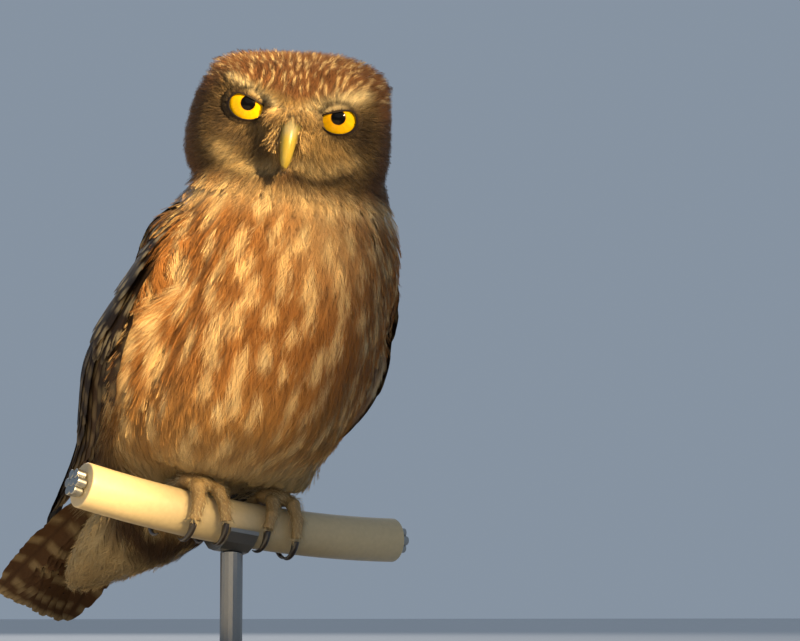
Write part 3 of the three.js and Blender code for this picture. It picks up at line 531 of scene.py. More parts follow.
class WingLeaf:
    """The folded wing's surface on the side of the trunk, in the body's frame: s from wrist to tip, t from
    the edge on the back, 0, to the edge on the belly, 1."""

    def __init__(self, side):
        def own(x, y, z):
            return [side * x + float(wing_bend(z)), y, z]

        def tip(x, y, z):
            return in_body(on_tail([side * x, y, z]))

        self.side = side
        self.back = smooth_line(
            [own(15, 7, 92), own(17, 20, 76), own(12, 36, 52), own(9, 47, 30), tip(0, 48, 8.6)])
        self.middle = smooth_line(
            [own(34, -12, 88), own(38, 3, 67), own(40, 22, 42), own(32, 37, 18), tip(5, 56, 8.2)])
        self.belly = smooth_line(
            [own(38, -29, 75), own(45, -16, 54), own(45, -3, 34), own(33, 24, 12), tip(10, 46, 7.8)])

    def raw(self, s, t):
        a, b, c = (along_line(line, s) for line in (self.back, self.middle, self.belly))
        t = np.asarray(t, float)[..., None]
        return a * (1 - t) ** 2 + (2 * b - (a + c) / 2) * 2 * t * (1 - t) + c * t * t

    def point(self, s, t):
        s, t = np.broadcast_arrays(np.asarray(s, float), np.asarray(t, float))
        place = self.raw(s, t)
        reach, outer = beside_trunk(place, 0.9)
        inside = ((reach < 1) & (place[..., 2] > TRUNK[0, 0]))[..., None]
        clear = np.where(inside, outer, place)
        sunk = np.maximum(1 - ease(s / 0.14), clamp01((t - 0.86) / 0.14) * clamp01((0.3 - s) / 0.14))
        return mix(clear, beside_trunk(place, -3.4)[1], sunk[..., None])

    def normal(self, s, t):
        h = 0.02
        along_s = self.raw(np.minimum(1, s + h), t) - self.raw(np.maximum(0, s - h), t)
        along_t = self.raw(s, np.minimum(1, t + h)) - self.raw(s, np.maximum(0, t - h))
        return unit(-self.side * np.cross(along_s, along_t))


LEAVES = {"left": WingLeaf(1), "right": WingLeaf(-1)}
ARM_END = 0.5


def arm_height(s, t):
    round_across = np.sin(math.pi * clamp01(t * 0.96 + 0.02)) ** 1.1
    along = np.sqrt(clamp01((s + 0.03) / 0.12)) * clamp01((ARM_END + 0.06 - s) / 0.36)
    return 0.7 + 4.2 * round_across * along


def arm_plate(leaf):
    """The closed plate of a wing's arm, in the bird's frame."""
    s, t = np.meshgrid(np.linspace(0, ARM_END, 22), np.linspace(0.03, 0.97, 22), indexing="ij")
    place, normal = leaf.point(s, t), leaf.normal(s, t)
    upper = place + normal * (arm_height(s, t) - 0.3)[..., None]
    lower = place - normal * 5
    rim = [np.concatenate([grid[0, ::-1], grid[1:-1, 0], grid[-1, :], grid[-2:0:-1, -1]])
           for grid in (upper, lower)]
    points = np.concatenate([upper.reshape(-1, 3), lower.reshape(-1, 3), *rim])
    quads = ring_faces(22, 22, closed=False)
    count = 22 * 22
    walls = 2 * count + ring_faces(2, len(rim[0]))
    return from_body(points), np.concatenate([quads, quads[:, ::-1] + count, walls])


def corners_of(mesh):
    """A mesh's points in the bird's millimetres, and its triangles."""
    places = np.empty(len(mesh.vertices) * 3, np.float32)
    mesh.vertices.foreach_get("co", places)
    mesh.calc_loop_triangles()
    faces = np.empty(len(mesh.loop_triangles) * 3, np.int32)
    mesh.loop_triangles.foreach_get("vertices", faces)
    return places.reshape(-1, 3).astype(float) * 1000 - FEET, faces.reshape(-1, 3)


FLESH = ["head", "neck", "torso", "undertail", "thigh_left", "thigh_right", "shank_left", "shank_right"]
FILLERS = ["eye_left", "eye_right", "eyelid_left", "eyelid_right", "bill_upper", "bill_lower"]


def remeshed(name, parts, voxel):
    """One closed surface round several sets of points and faces."""
    points, faces, count = [], [], 0
    for some, some_faces in parts:
        points.append(some)
        faces += (some_faces + count).tolist()
        count += len(some)
    rough = bpy.data.meshes.new(name)
    rough.from_pydata(((np.concatenate(points) + FEET) * 0.001).tolist(), [], faces)
    holder = bpy.data.objects.new(name, rough)
    bpy.context.scene.collection.objects.link(holder)
    change = holder.modifiers.new("remesh", "REMESH")
    change.mode = "VOXEL"
    change.voxel_size = voxel * 0.001
    seen = holder.evaluated_get(bpy.context.evaluated_depsgraph_get())
    whole = bpy.data.meshes.new_from_object(seen)
    corners = corners_of(whole)
    bpy.data.objects.remove(holder)
    bpy.data.meshes.remove(rough)
    bpy.data.meshes.remove(whole)
    return corners


PULL = 0.5
PUSH = -0.52


def relaxed(points, faces, rounds):
    """The points smoothed without shrinking: each round pulls them to their neighbours and pushes back."""
    pairs = np.concatenate([faces[:, [0, 1]], faces[:, [1, 2]], faces[:, [2, 0]]])
    pairs = np.unique(np.sort(pairs, axis=1), axis=0)
    a, b = np.concatenate([pairs, pairs[:, ::-1]]).T
    count = np.maximum(np.bincount(a, minlength=len(points)), 1)
    for _ in range(rounds):
        for share in (PULL, PUSH):
            mean = np.stack([np.bincount(a, points[b, k], len(points)) for k in range(3)], axis=1)
            points = points + share * (mean / count[:, None] - points)
    return points


def point_normals(points, faces):
    p = points[faces]
    flat = np.cross(p[:, 1] - p[:, 0], p[:, 2] - p[:, 0])
    total = [np.bincount(faces.ravel(), np.repeat(flat[:, k], 3), len(points)) for k in range(3)]
    return unit(np.stack(total, axis=1))


def to_eye(head):
    return np.hypot(np.abs(head[..., 0]) - EYE[0], head[..., 2] - EYE[2])


def headness(points):
    """1 on the head, 0 on the body."""
    return ease((in_head(points)[..., 2] + 25) / 9)


def corner_of_crown(points):
    """1 at the two square corners of the crown, which stand out over the brows."""
    head = in_head(points)
    near = hill(np.hypot((np.abs(head[..., 0]) - 21) / 8, (head[..., 2] - 13) / 6.5), 1)
    return near * hill(head[..., 1] + 2, 15) * np.where(head[..., 0] < 0, 1, 0.4)


def coat_depth(points):
    head = in_head(points)
    on_face = ease((-head[..., 1] - 6) / 12)
    near_eye = hill(to_eye(head), 9) * on_face
    head_depth = mix(2.4, 1.5, on_face) - 0.8 * near_eye - 1.2 * corner_of_crown(points)
    low = ease((16 - points[..., 2]) / 12) * (np.abs(points[..., 1]) < 15)
    return mix(mix(3.2, 1.4, low), head_depth, headness(points))


OPENING_HALF = 5.6
OPENING_HIGH = 4.15
BROW_CUT = 2.25
BROW_SLANT = 20
BEHIND_EYEBALL = 6.3


def opening_at(turn, side):
    """How far the lids open from the middle of the eye: an oval that a slanting brow cuts straight."""
    oval = 1 / np.sqrt((np.cos(turn) / OPENING_HALF) ** 2 + (np.sin(turn) / OPENING_HIGH) ** 2)
    facing = np.maximum(np.cos(turn - np.radians(90 + side * BROW_SLANT)), 0.05)
    return (oval ** -6 + (BROW_CUT / facing) ** -6) ** (-1 / 6)


def sunk_at_eyes(points):
    """Skin points drawn in behind the eyeballs where the lids open."""
    head = in_head(points)
    middle = EYE * np.where(head[:, :1] < 0, [-1, 1, 1], [1, 1, 1])
    away = head - middle
    turn = np.arctan2(away[:, 2], np.abs(head[:, 0]) - EYE[0])
    open_here = ease(opening_at(turn, 1) + 1.7 - to_eye(head)) * (away[:, 1] < 0)
    distance = np.linalg.norm(away, axis=1)
    share = mix(1, np.minimum(1, BEHIND_EYEBALL / distance), open_here)
    return from_head(middle + away * share[:, None])


flesh_parts = [corners_of(nodes[name].data) for name in FLESH + FILLERS]
rough_arms = [arm_plate(leaf) for leaf in LEAVES.values()]
TAIL_STACK = 5.1
rump_at = [on_tail([0, y, TAIL_STACK / 2 - 0.05 * y]) for y in (-5, 6, 20, 32)]
rump = tube(rump_at, [8, 11.5, 11.5, 6], [3.5, 5.6, 4.4, 2.2], 24, across=TAIL_TURN[:, 0])
skin_points, skin_faces = remeshed("rough_skin", [*flesh_parts, *rough_arms, rump], 1.15)
skin_points = relaxed(skin_points, skin_faces, 10)
skin_points = skin_points - point_normals(skin_points, skin_faces) * coat_depth(skin_points)[:, None]
skin_points = sunk_at_eyes(relaxed(skin_points, skin_faces, 3))


class Ground:
    """A surface that feathers grow from."""

    def __init__(self, points, faces):
        self.points, self.faces = points, faces
        self.normals = point_normals(points, faces)
        self.tree = BVHTree.FromPolygons(points.tolist(), faces.tolist())

    def normals_at(self, at, shares):
        return unit(np.einsum("nk,nkj->nj", shares, self.normals[self.faces[at]]))

    def nearest(self, places):
        """The nearest places of the surface, with smooth normals and triangle numbers."""
        found = [self.tree.find_nearest(p) for p in places.tolist()]
        at = np.array([f[2] for f in found])
        spots = np.array([tuple(f[0]) for f in found])
        corners = self.points[self.faces[at]]
        close = 1 / (np.linalg.norm(corners - spots[:, None], axis=2) + 0.05)
        return spots, self.normals_at(at, close / close.sum(axis=1, keepdims=True)), at


skin_ground = Ground(skin_points, skin_faces)


# The markings: warm brown feathers with long cream streaks below, a dark brown back with round pale spots, a
# brown crown with fine pale flecks, white brows, and pale lores, moustache and throat. One function gives the
# colour of any point, and both the skin and every feather of the coat take theirs from it.
# Some of these colours are painted light and shade: the two sides of the face, the corners of the gape, and
# the buff under the tail and on the legs.
TINT = {name: linear(code) for name, code in {
    "breast": "91602f", "belly": "a57b46", "back": "4e3a29", "pale": "cdb687", "cream": "e4c894",
    "crown": "78502f", "face": "78623f", "dark": "30241a", "brow": "ead6a8", "lores": "b6955f",
    "moustache": "c2aa7c", "chin": "523a26", "wing": "281d14", "rim": "4a3828",
}.items()}
LIE_BELOW = np.array([-7.0, 33.0, -62.0])
BILL_ROOT = np.array([0.0, -26.0, 1.0])


def frontness(points):
    """1 on the breast and flanks, 0 on the back."""
    body = in_body(points)
    middle, depth, _ = trunk_at(body[..., 2])
    return ease((0.45 - (body[..., 1] - middle) / depth) / 0.6)


def undertailness(points):
    return ease((points[..., 1] - 26) / 12) * ease((16 - points[..., 2]) / 12)


def legness(points):
    return ease((13 - points[..., 2]) / 9) * ease((17 - np.abs(points[..., 1])) / 5)


def lie(points, normals):
    """The way the feathers lie at points of the skin: from the bill back over the head, round the eyes, and
    down the body to the vent and the tail."""
    head = in_head(points)
    side = np.where(head[..., 0] < 0, -1.0, 1.0)[..., None]
    back_over = unit(head - BILL_ROOT)
    from_eye = unit((head - EYE * np.concatenate([side, side * 0 + 1, side * 0 + 1], axis=-1)) * [1, 0.2, 1])
    on_face = ease((-head[..., 1] - 8) / 10)
    ring = (hill(to_eye(head), 12) * on_face)[..., None]
    on_head = unit(mix(back_over, from_eye, ring)) @ HEAD_TURN.T
    down = unit(LIE_BELOW - points)
    along_tail = np.broadcast_to(tail_along, down.shape)
    body = mix(down, along_tail, undertailness(points)[..., None])
    body = mix(body, np.array([0, 0, -1.0]), legness(points)[..., None])
    way = mix(body, on_head, headness(points)[..., None])
    return unit(way - normals * np.sum(way * normals, axis=-1, keepdims=True))


AROUND = [(dx, dy, dz) for dx in (-1, 0, 1) for dy in (-1, 0, 1) for dz in (-1, 0, 1)]


def scattered(points, faces, spacing, seed, candidates, cell, wanted=1):
    """Seeded places on a surface that keep their own spacing: triangle numbers and shares of its corners."""
    rng = np.random.default_rng(seed)
    p = points[faces]
    area = np.linalg.norm(np.cross(p[:, 1] - p[:, 0], p[:, 2] - p[:, 0]), axis=1) * wanted
    chosen = rng.choice(len(faces), candidates, p=area / area.sum())
    a, b = rng.random((2, candidates))
    a, b = np.where(a + b > 1, 1 - a, a), np.where(a + b > 1, 1 - b, b)
    shares = np.stack([1 - a - b, a, b], axis=1)
    places = np.einsum("nk,nkj->nj", shares, p[chosen])
    room = spacing(places)
    kept, grid = [], {}
    cells = np.floor(places / cell).astype(int).tolist()
    listed = places.tolist()
    for i in np.flatnonzero(room > 0).tolist():
        x, y, z = listed[i]
        cx, cy, cz = cells[i]
        least = float(room[i]) ** 2
        taken = any(
            (qx - x) ** 2 + (qy - y) ** 2 + (qz - z) ** 2 < least
            for dx, dy, dz in AROUND
            for qx, qy, qz in grid.get((cx + dx, cy + dy, cz + dz), ())
        )
        if not taken:
            grid.setdefault((cx, cy, cz), []).append((x, y, z))
            kept.append(i)
    return places[kept], chosen[kept], shares[kept]


def crownness(points):
    head = in_head(points)
    return headness(points) * clamp01(ease((head[..., 2] - 7) / 6) + ease((head[..., 1] + 4) / 8))


def streak_room(places):
    plain = (headness(places) > 0.3) | (undertailness(places) + legness(places) > 0.5)
    return np.where(plain, 0, mix(9.5, 7.6, frontness(places)))


def fleck_room(places):
    return np.where(crownness(places) > 0.3, 2.25, 0)


def spots_from(room, seed, candidates, cell, length, width):
    """Spots and streaks: seeded places on the skin, long along the lie and widest near their lower ends."""
    rng = np.random.default_rng(seed + 1)
    centres, at, shares = scattered(skin_points, skin_faces, room, seed, candidates, cell)
    normals = skin_ground.normals_at(at, shares)
    along = lie(centres, normals)
    size = rng.uniform(0.65, 1.35, (2, len(centres)))
    front = frontness(centres)
    return centres, along, np.cross(normals, along), length(front) * size[0], width(front) * size[1]


streaks = spots_from(streak_room, 11, 9000, 9.6, lambda f: mix(3.6, 6.2, f), lambda f: mix(2.6, 2.45, f))
flecks = spots_from(fleck_room, 17, 20000, 2.4, lambda f: 0 * f + 1.7, lambda f: 0 * f + 0.58)


def tree_of(places):
    tree = KDTree(len(places))
    for i, place in enumerate(places):
        tree.insert(place, i)
    tree.balance()
    return tree


streak_tree, fleck_tree = tree_of(streaks[0]), tree_of(flecks[0])


def near_spots(places, tree, count):
    return np.array([[found[1] for found in tree.find_n(place, count)] for place in places.tolist()])


def spot_mask(points, near, spots):
    """How much of a spot covers each of the points (n, m) whose nearest spots are near (n, k)."""
    centres, along, across, length, width = (values[near] for values in spots)
    away = points[:, :, None] - centres[:, None]
    a = np.einsum("nmkj,nkj->nmk", away, along) / length[:, None]
    b = np.einsum("nmkj,nkj->nmk", away, across) / (width[:, None] * (0.8 + 0.3 * np.clip(a, -1, 1)))
    return ease((1.12 - np.sqrt(a * a + b * b)) / 0.4).max(axis=2)


def stripe(head, line, width):
    """How near a point of the face is to a line of it, given for one side and mirrored."""
    x, z = np.abs(head[..., 0]), head[..., 2]
    best = np.full(x.shape, 1e9)
    for (x0, z0), (x1, z1) in zip(line, line[1:]):
        dx, dz = x1 - x0, z1 - z0
        t = clamp01(((x - x0) * dx + (z - z0) * dz) / (dx * dx + dz * dz))
        best = np.minimum(best, np.hypot(x - x0 - t * dx, z - z0 - t * dz))
    return hill(best, width)


BROW_LINE = [(0.8, 1.0), (8.0, 6.0), (14.3, 9.0), (20.5, 11.6)]
# The brow is painted wider on the bird's left, where light falls, than on its right, in shade.
LIT_AND_SHADED_BROW_WIDTHS = {"right": 1.15, "left": 2.2}
MOUSTACHE_LINE = [(3.5, -14.5), (9, -15.6), (15, -14.6), (21, -11)]
MOUSTACHE_LIFT = 2.2
BIB = np.array([0.0, 78.0])
# Oval marks of the face, and ovals of painted light and shade, as seen from its front: x and z of the middle,
# then half width and half height
BEHIND_EYE = (22, -1, 6.5, 9)
# Below the eyes: painted light on the bird's left, painted shade on its right.
LIGHT_AND_SHADE_BELOW_EYE = (14, -7.5, 7, 3.6)
# The dark oval at the corners of the gape, beside the lower bill, is painted shadow; lores and chin are
# marks.
FACE_MARKS_AND_GAPE_SHADOW = [("lores", 0.95, (0, -1.5, 8, 8.5)), ("chin", 0.8, (0, -15.5, 7, 3.6)),
              ("dark", 0.6, (7.5, -10.5, 3.4, 3.2))]


def face_mark(head, x, z, wide, high):
    """A soft oval mark on both sides of the face, given by its middle and its half sizes."""
    return hill(np.hypot((np.abs(head[..., 0]) - x) / wide, (head[..., 2] - z) / high), 1)[..., None]


def face_colour(head, crown):
    """The face: dark behind the eyes, pale lores, brows and moustache, and a painted shadow at the corners of
    the gape. The bird's left is painted lit, pale below the eye and with a wider brow, with a painted shadow
    under its moustache; the right is painted in shade, dark below the eye.
    """
    side, height = np.abs(head[..., 0]), head[..., 2]
    sunny = (head[..., 0] > 0)[..., None]
    face = mix(np.broadcast_to(TINT["face"], crown.shape), TINT["dark"], 0.9 * face_mark(head, *BEHIND_EYE))
    rim = hill(np.hypot(side - 12, height + 1) - 19, 2.6)[..., None]
    face = mix(face, TINT["rim"], 0.5 * rim)
    # Pale lores, a dark chin and a painted shadow at the corners of the gape.
    for tint, share, place in FACE_MARKS_AND_GAPE_SHADOW:
        face = mix(face, TINT[tint], share * face_mark(head, *place))
    # Painted light and shade below the eyes: lores colour on the bird's lit left side, dark on its shaded
    # right.
    lit_and_shaded_below_eye = np.where(sunny, 0.5, 0.7) * face_mark(head, *LIGHT_AND_SHADE_BELOW_EYE)
    face = mix(face, np.where(sunny, TINT["lores"], TINT["dark"]), lit_and_shaded_below_eye)
    lifted = head - np.where(sunny, [0, 0, MOUSTACHE_LIFT], [0, 0, 0])
    face = mix(face, TINT["moustache"], 0.65 * stripe(lifted, MOUSTACHE_LINE, 2.1)[..., None])
    # Painted shadow under the moustache, on the bird's lit left side only.
    painted_shadow_under_moustache = stripe(lifted + [0, 0, 3.6], MOUSTACHE_LINE, 1.0)[..., None] * sunny
    face = mix(face, TINT["dark"], 0.9 * painted_shadow_under_moustache)
    face = mix(face, crown, ease((height - 5.5 - 0.3 * side) / 3)[..., None])
    brow = stripe(head, BROW_LINE, np.where(head[..., 0] > 0, LIT_AND_SHADED_BROW_WIDTHS["left"], LIT_AND_SHADED_BROW_WIDTHS["right"]))
    face = mix(face, TINT["brow"], 0.85 * brow[..., None])
    return mix(face, TINT["dark"], 0.8 * hill(to_eye(head) - 5.4, 0.8)[..., None])


def trunk_colour(body, front, under, streaked):
    """The body: a brown back with pale spots, and a rufous breast with cream streaks, bib and throat, and
    pale buff under the tail and on the legs, darkened towards the back's brown by painted shade.
    """
    across, height = body[..., 0], body[..., 2]
    low = ease((40 - height) / 30)[..., None]
    bib = hill(np.hypot((across - BIB[0]) / 13, (height - BIB[1]) / 15), 1)[..., None]
    throat = hill(height - 90, 5)[..., None]
    vent = ease((18 - height) / 16)[..., None]
    trunk = mix(TINT["back"], mix(TINT["breast"], TINT["belly"], low), front)
    trunk = mix(trunk, TINT["cream"], clamp01((0.4 * bib + 0.55 * throat) * front))
    trunk = mix(trunk, mix(TINT["pale"] * 0.9, TINT["cream"], front), streaked * mix(0.75, 0.72, front))
    trunk = mix(trunk, TINT["pale"], 0.55 * vent * front)
    # Under the tail and on the legs: pale buff darkened towards the back's brown, painted shade under the
    # body.
    return mix(trunk, mix(TINT["pale"], TINT["back"], 0.3), under)


def plumage(points, streak_near, fleck_near):
    """The colour of points (n, m, 3), given each row's nearest streaks and flecks."""
    head = in_head(points)
    under = clamp01(undertailness(points) + legness(points))[..., None]
    streaked = spot_mask(points, streak_near, streaks)[..., None]
    flecked = spot_mask(points, fleck_near, flecks)[..., None]
    trunk = trunk_colour(in_body(points), frontness(points)[..., None], under, streaked)
    crown = mix(TINT["crown"], TINT["cream"], flecked * 0.85)
    cheek = (ease((np.abs(head[..., 0]) - 17) / 7) * ease((9 - head[..., 2]) / 6))[..., None]
    on_face = ease((-head[..., 1] - 9) / 8)[..., None]
    whole = mix(mix(crown, TINT["rim"], 0.15 + 0.6 * cheek), face_colour(head, crown), on_face)
    return mix(trunk, whole, headness(points)[..., None])


def coat_colour(middles, nearest=6):
    """What colours the points of feathers of the coat, given the feathers' middles."""
    near = near_spots(middles, streak_tree, nearest), near_spots(middles, fleck_tree, nearest)

    def colour_of(points):
        return plumage(points, *near)

    return colour_of


skin_colours = coat_colour(skin_points, 3)(skin_points[:, None])[:, 0]
skin_finish = finish("downy skin", attribute="plumage", roughness=0.85, mottle=(150, 1200, 0.3),
                     bump=(900, 0.5, 0.0005), Specular_IOR_Level=0.15)
# The skin shows the coat's colours at 0.6 of their brightness: painted shade under the feathers.
skin = piece("skin", skin_points, skin_faces, skin_finish, colours=skin_colours * 0.6)
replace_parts(skin, *FLESH)
for other in bpy.context.view_layer.objects:
    other.select_set(False)
skin.select_set(True)
bpy.context.view_layer.objects.active = skin
skin.data.uv_layers.new(name="OFBake")
bpy.ops.object.mode_set(mode="EDIT")
bpy.ops.mesh.select_all(action="SELECT")
bpy.ops.uv.smart_project(angle_limit=math.radians(66), island_margin=0.002)
bpy.ops.object.mode_set(mode="OBJECT")
unwrapped = np.empty(len(skin_faces) * 6, np.float32)
skin.data.uv_layers["OFBake"].data.foreach_get("uv", unwrapped)
unwrapped = unwrapped.reshape(-1, 3, 2).astype(float)


# Feathers: a feather is a joined mesh of thin tapering barbs that leave its shaft on both sides, laid along
# a curve that follows the skin and rises to the depth of the coat. A few seeded patterns serve for all.
BARBS_END = 0.9
PATCH_HALF = 0.0014
PATCH_MOST = 0.0015
ROOT_SHADE = 0.8
COLOUR_SHIFT = 0.14


def barbed(seed, pairs, segments, sweep, ragged, thick=1.0, loose=0.06):
    """Points (u across, v along, w up) and triangles of one feather of barbs."""
    rng = np.random.default_rng(seed)
    points, faces = [], []
    for side in (-1, 1):
        for i in range(pairs):
            v0 = 0.03 + BARBS_END * (i + rng.uniform(0.15, 0.85)) / pairs
            v1 = min(1.04, v0 + sweep * rng.uniform(0.8, 1.25) * (1.1 - 0.4 * v0))
            outline = math.sin(math.pi * min(1, max(0.02, v1 * 0.97)) ** 0.85) ** 0.55
            u1 = side * outline * (1 + ragged * rng.normal())
            half = 0.5 * thick * BARBS_END / pairs
            w1 = rng.normal() * loose
            first = len(points)
            for k in range(segments):
                t = k / segments
                u = u1 * t
                v = v0 + (v1 - v0) * (0.75 * t + 0.25 * t * t)
                width = half * (1 - 0.55 * t)
                points.append((u, v - width, w1 * t * t))
                points.append((u, v + width, w1 * t * t))
            points.append((u1, v1, w1))
            barb = []
            for a in range(first, first + 2 * segments - 2, 2):
                barb += [(a, a + 1, a + 3), (a, a + 3, a + 2)]
            a = first + 2 * segments - 2
            barb.append((a, a + 1, a + 2))
            faces += barb if side < 0 else [(a, c, b) for a, b, c in barb]
    return np.array(points), np.array(faces)


def sheet_vane(rows, columns, seed, splits, ragged=0.02):
    """A feather with a smooth closed vane: a grid with a few notches in its edge."""
    rng = np.random.default_rng(seed)
    v = np.linspace(0, 1, rows) ** 0.85
    width = np.where(v < 0.56, mix(0.45, 1, ease(v / 0.56)), np.sqrt(clamp01(1 - ((v - 0.56) / 0.445) ** 2)))
    u = np.linspace(-1, 1, columns)
    grid_u = u[None] * np.repeat(width[:, None], columns, axis=1)
    grid_v = np.repeat(v[:, None], columns, axis=1) + 0.05 * np.abs(u[None]) * (1 - v[:, None])
    for column in (0, columns - 1):
        grid_u[:, column] *= 1 + ragged * rng.normal(size=rows)
        notch = rng.choice(np.arange(rows // 4, rows - 2), splits, replace=False)
        grid_u[notch, column] *= 0.86
        grid_v[notch, column] -= 0.012
    points = np.stack([grid_u, grid_v, 0 * grid_u], axis=-1).reshape(-1, 3)
    quads = ring_faces(rows, columns, closed=False)
    return points, np.concatenate([quads[:, [0, 1, 2]], quads[:, [0, 2, 3]]])


def curve_frames(stops, normals, v):
    """Places, across and up directions along feathers (n, 3 stops, 3) at shares v (m) of their length."""
    v = v[None, :, None]
    a, b, c = (1 - v) * (1 - 2 * v), 4 * v * (1 - v), v * (2 * v - 1)
    da, db, dc = 4 * v - 3, 4 - 8 * v, 4 * v - 1
    place = stops[:, 0:1] * a + stops[:, 1:2] * b + stops[:, 2:3] * c
    ahead = stops[:, 0:1] * da + stops[:, 1:2] * db + stops[:, 2:3] * dc
    up = unit(normals[:, 0:1] * a + normals[:, 1:2] * b + normals[:, 2:3] * c)
    return place, unit(np.cross(ahead, up)), up


def laid(pattern, stops, normals, width, droop, colour_of, patch, rng, vary=0.09):
    """Points, faces, colours and patches of one pattern laid at n places."""
    shape, faces = pattern
    n, m = len(stops), len(shape)
    if n == 0:
        return np.zeros((0, 3)), np.zeros((0, 3), int), np.zeros((0, 3)), np.zeros((0, 2))
    place, across, up = curve_frames(stops, normals, shape[:, 1])
    flip = rng.choice([-1.0, 1.0], n)[:, None]
    u = shape[None, :, 0] * flip
    half = width[:, None] / 2
    lift = shape[None, :, 2] * half * 2 - droop * half * u * u
    points = place + across * (u * half)[..., None] + up * lift[..., None]
    along = mix(ROOT_SHADE, 1.06, ease(shape[None, :, 1] / 0.6))
    shade = (np.maximum(rng.normal(1, vary, n), 0.3)[:, None] * along)[..., None]
    warm = 1 + np.array([0.03, 0.0, -0.05]) * rng.normal(0, 1, n)[:, None, None]
    shift = rng.normal(0, COLOUR_SHIFT, (n, 1, 3)) * width[:, None, None]
    colours = clamp01(colour_of(points + shift) * shade * warm)
    spread = np.stack([u, 2 * np.broadcast_to(shape[None, :, 1], (n, m)) - 1], axis=-1) * PATCH_HALF
    patches = patch[:, None] + np.clip(spread, -PATCH_MOST, PATCH_MOST)
    turned = np.where(flip[:, :, None] < 0, faces[None, :, ::-1], faces[None])
    offset = (np.arange(n) * m)[:, None, None]
    return (
        points.reshape(-1, 3),
        (turned + offset).reshape(-1, 3),
        colours.reshape(-1, 3),
        patches.reshape(-1, 2),
    )


def gather(lots):
    """Several lots of points, faces, colours and patches as one."""
    points, faces, colours, patches = zip(*lots)
    return *joined(zip(points, faces)), np.concatenate(colours), np.concatenate(patches)


def feather_curves(roots, normals, length, rise, rng, wander=0.12):
    """Three stops along each feather: its root, middle and tip, over the skin."""
    way = lie(roots, normals)
    way = unit(way + np.cross(normals, way) * rng.normal(0, wander, len(roots))[:, None])
    half = (length / 2)[:, None]
    middle, middle_normal, _ = skin_ground.nearest(roots + way * half)
    way_on = lie(middle, middle_normal)
    keep = np.sum(way_on * way, axis=1, keepdims=True)
    way_on = unit(np.where(keep < 0.2, way, way_on + 0.5 * way))
    tip, tip_normal, _ = skin_ground.nearest(middle + way_on * half)
    rise = rise[:, None]
    stops = [roots - normals * 0.25, middle + middle_normal * rise * 0.62, tip + tip_normal * rise]
    return np.stack(stops, axis=1), np.stack([normals, middle_normal, tip_normal], axis=1)


def tuft_curves(roots, way, normals, length, low, middle, tip):
    """Stops and ups of straight feathers, whose root, middle and tip stand off the ground by so much."""
    heights = ((0, low), (0.5, middle), (1, tip))
    stops = [roots + way * length * share + normals * height for share, height in heights]
    return np.stack(stops, axis=1), np.repeat(normals[:, None], 3, axis=1)


def patch_at(places):
    """The place on the unwrap of the skin that is nearest to each root."""
    return unwrapped[skin_ground.nearest(np.asarray(places, float))[2]].mean(axis=1)


PLUMAGE = finish("contour feathers", attribute="plumage", roughness=0.78, mottle=(130, 2200, 0.22),
                 bump=(1800, 0.25, 0.0002), Specular_IOR_Level=0.2, Sheen_Weight=0.12)
MOST_FACES = 190000


def coat_piece(name, lot, material):
    """One or more pieces of a lot of feathers, each under the limit of triangles."""
    points, faces, colours, patches = lot
    parts = max(1, math.ceil(len(faces) / MOST_FACES))
    made = []
    for i, some in enumerate(np.array_split(faces, parts)):
        own = slice(some.min(), some.max() + 1)
        label = name if parts == 1 else f"{name}_{i + 1}"
        made.append(piece(label, points[own], some - own.start, material, colours[own], patches[own]))
    return made


def planted(where, chosen, length, width, patterns, seed, rise=1.0, wander=0.12, vary=0.09):
    """Feathers of the coat at the chosen places of the skin, with seeded patterns and sizes."""
    rng = np.random.default_rng(seed)
    places, at, shares = (values[chosen] for values in where)
    normals = skin_ground.normals_at(at, shares)
    length = length[chosen] * rng.uniform(0.82, 1.18, len(places))
    width = width[chosen] * rng.uniform(0.85, 1.15, len(places))
    neck = hill(headness(places) - 0.45, 0.4)
    depth = coat_depth(places) * (rise + 0.2 * neck) + 3.4 * corner_of_crown(places)
    depth = depth * rng.uniform(0.9, 1.06, len(places))
    stops, ups = feather_curves(places, normals, length, depth, rng, wander)
    patch = np.einsum("nk,nkj->nj", shares, unwrapped[at])
    kind = rng.integers(0, len(patterns), len(places))
    lots = []
    for k, pattern in enumerate(patterns):
        own = np.flatnonzero(kind == k)
        colour_of = coat_colour(stops[own, 1])
        lots.append(laid(pattern, stops[own], ups[own], width[own], 0.25, colour_of, patch[own], rng, vary))
    return gather(lots)


# The coat of the body: soft feathers over breast, back and belly, shorter ones on the thighs and shanks and
# long loose ones under the tail, planted on the skin and overlapping like tiles. More of them bridge the
# crease between each flank and the edge of the folded wing.
def under_wings(places):
    """Whether places lie close under the folded wings, where no soft feather shows."""
    s, t = np.meshgrid(np.linspace(0.13, 1, 60), np.linspace(0, 1, 28))
    t = t * mix(0.68, 0.9, ease((s - 0.3) / 0.15))
    covers = [from_body(leaf.point(s, t)).reshape(-1, 3) for leaf in LEAVES.values()]
    s, t = np.meshgrid(np.linspace(0.42, 1, 40), np.linspace(0.9, 1.04, 8))
    covers = np.concatenate([*covers, from_body(LEAVES["left"].point(s, t)).reshape(-1, 3)])
    tree = tree_of(covers)
    return np.array([tree.find(place)[2] < 3.8 for place in places.tolist()])


def off_perch(places):
    return np.hypot(places[:, 1], places[:, 2] - perch_middle(places[:, 0])[:, 2]) > 9.5


def body_room(places):
    room = mix(1.95, 1.6, clamp01(legness(places) + ease((in_body(places)[:, 2] - 74) / 10)))
    return np.where((headness(places) > 0.5) | ~off_perch(places) | under_wings(places), 0, room)


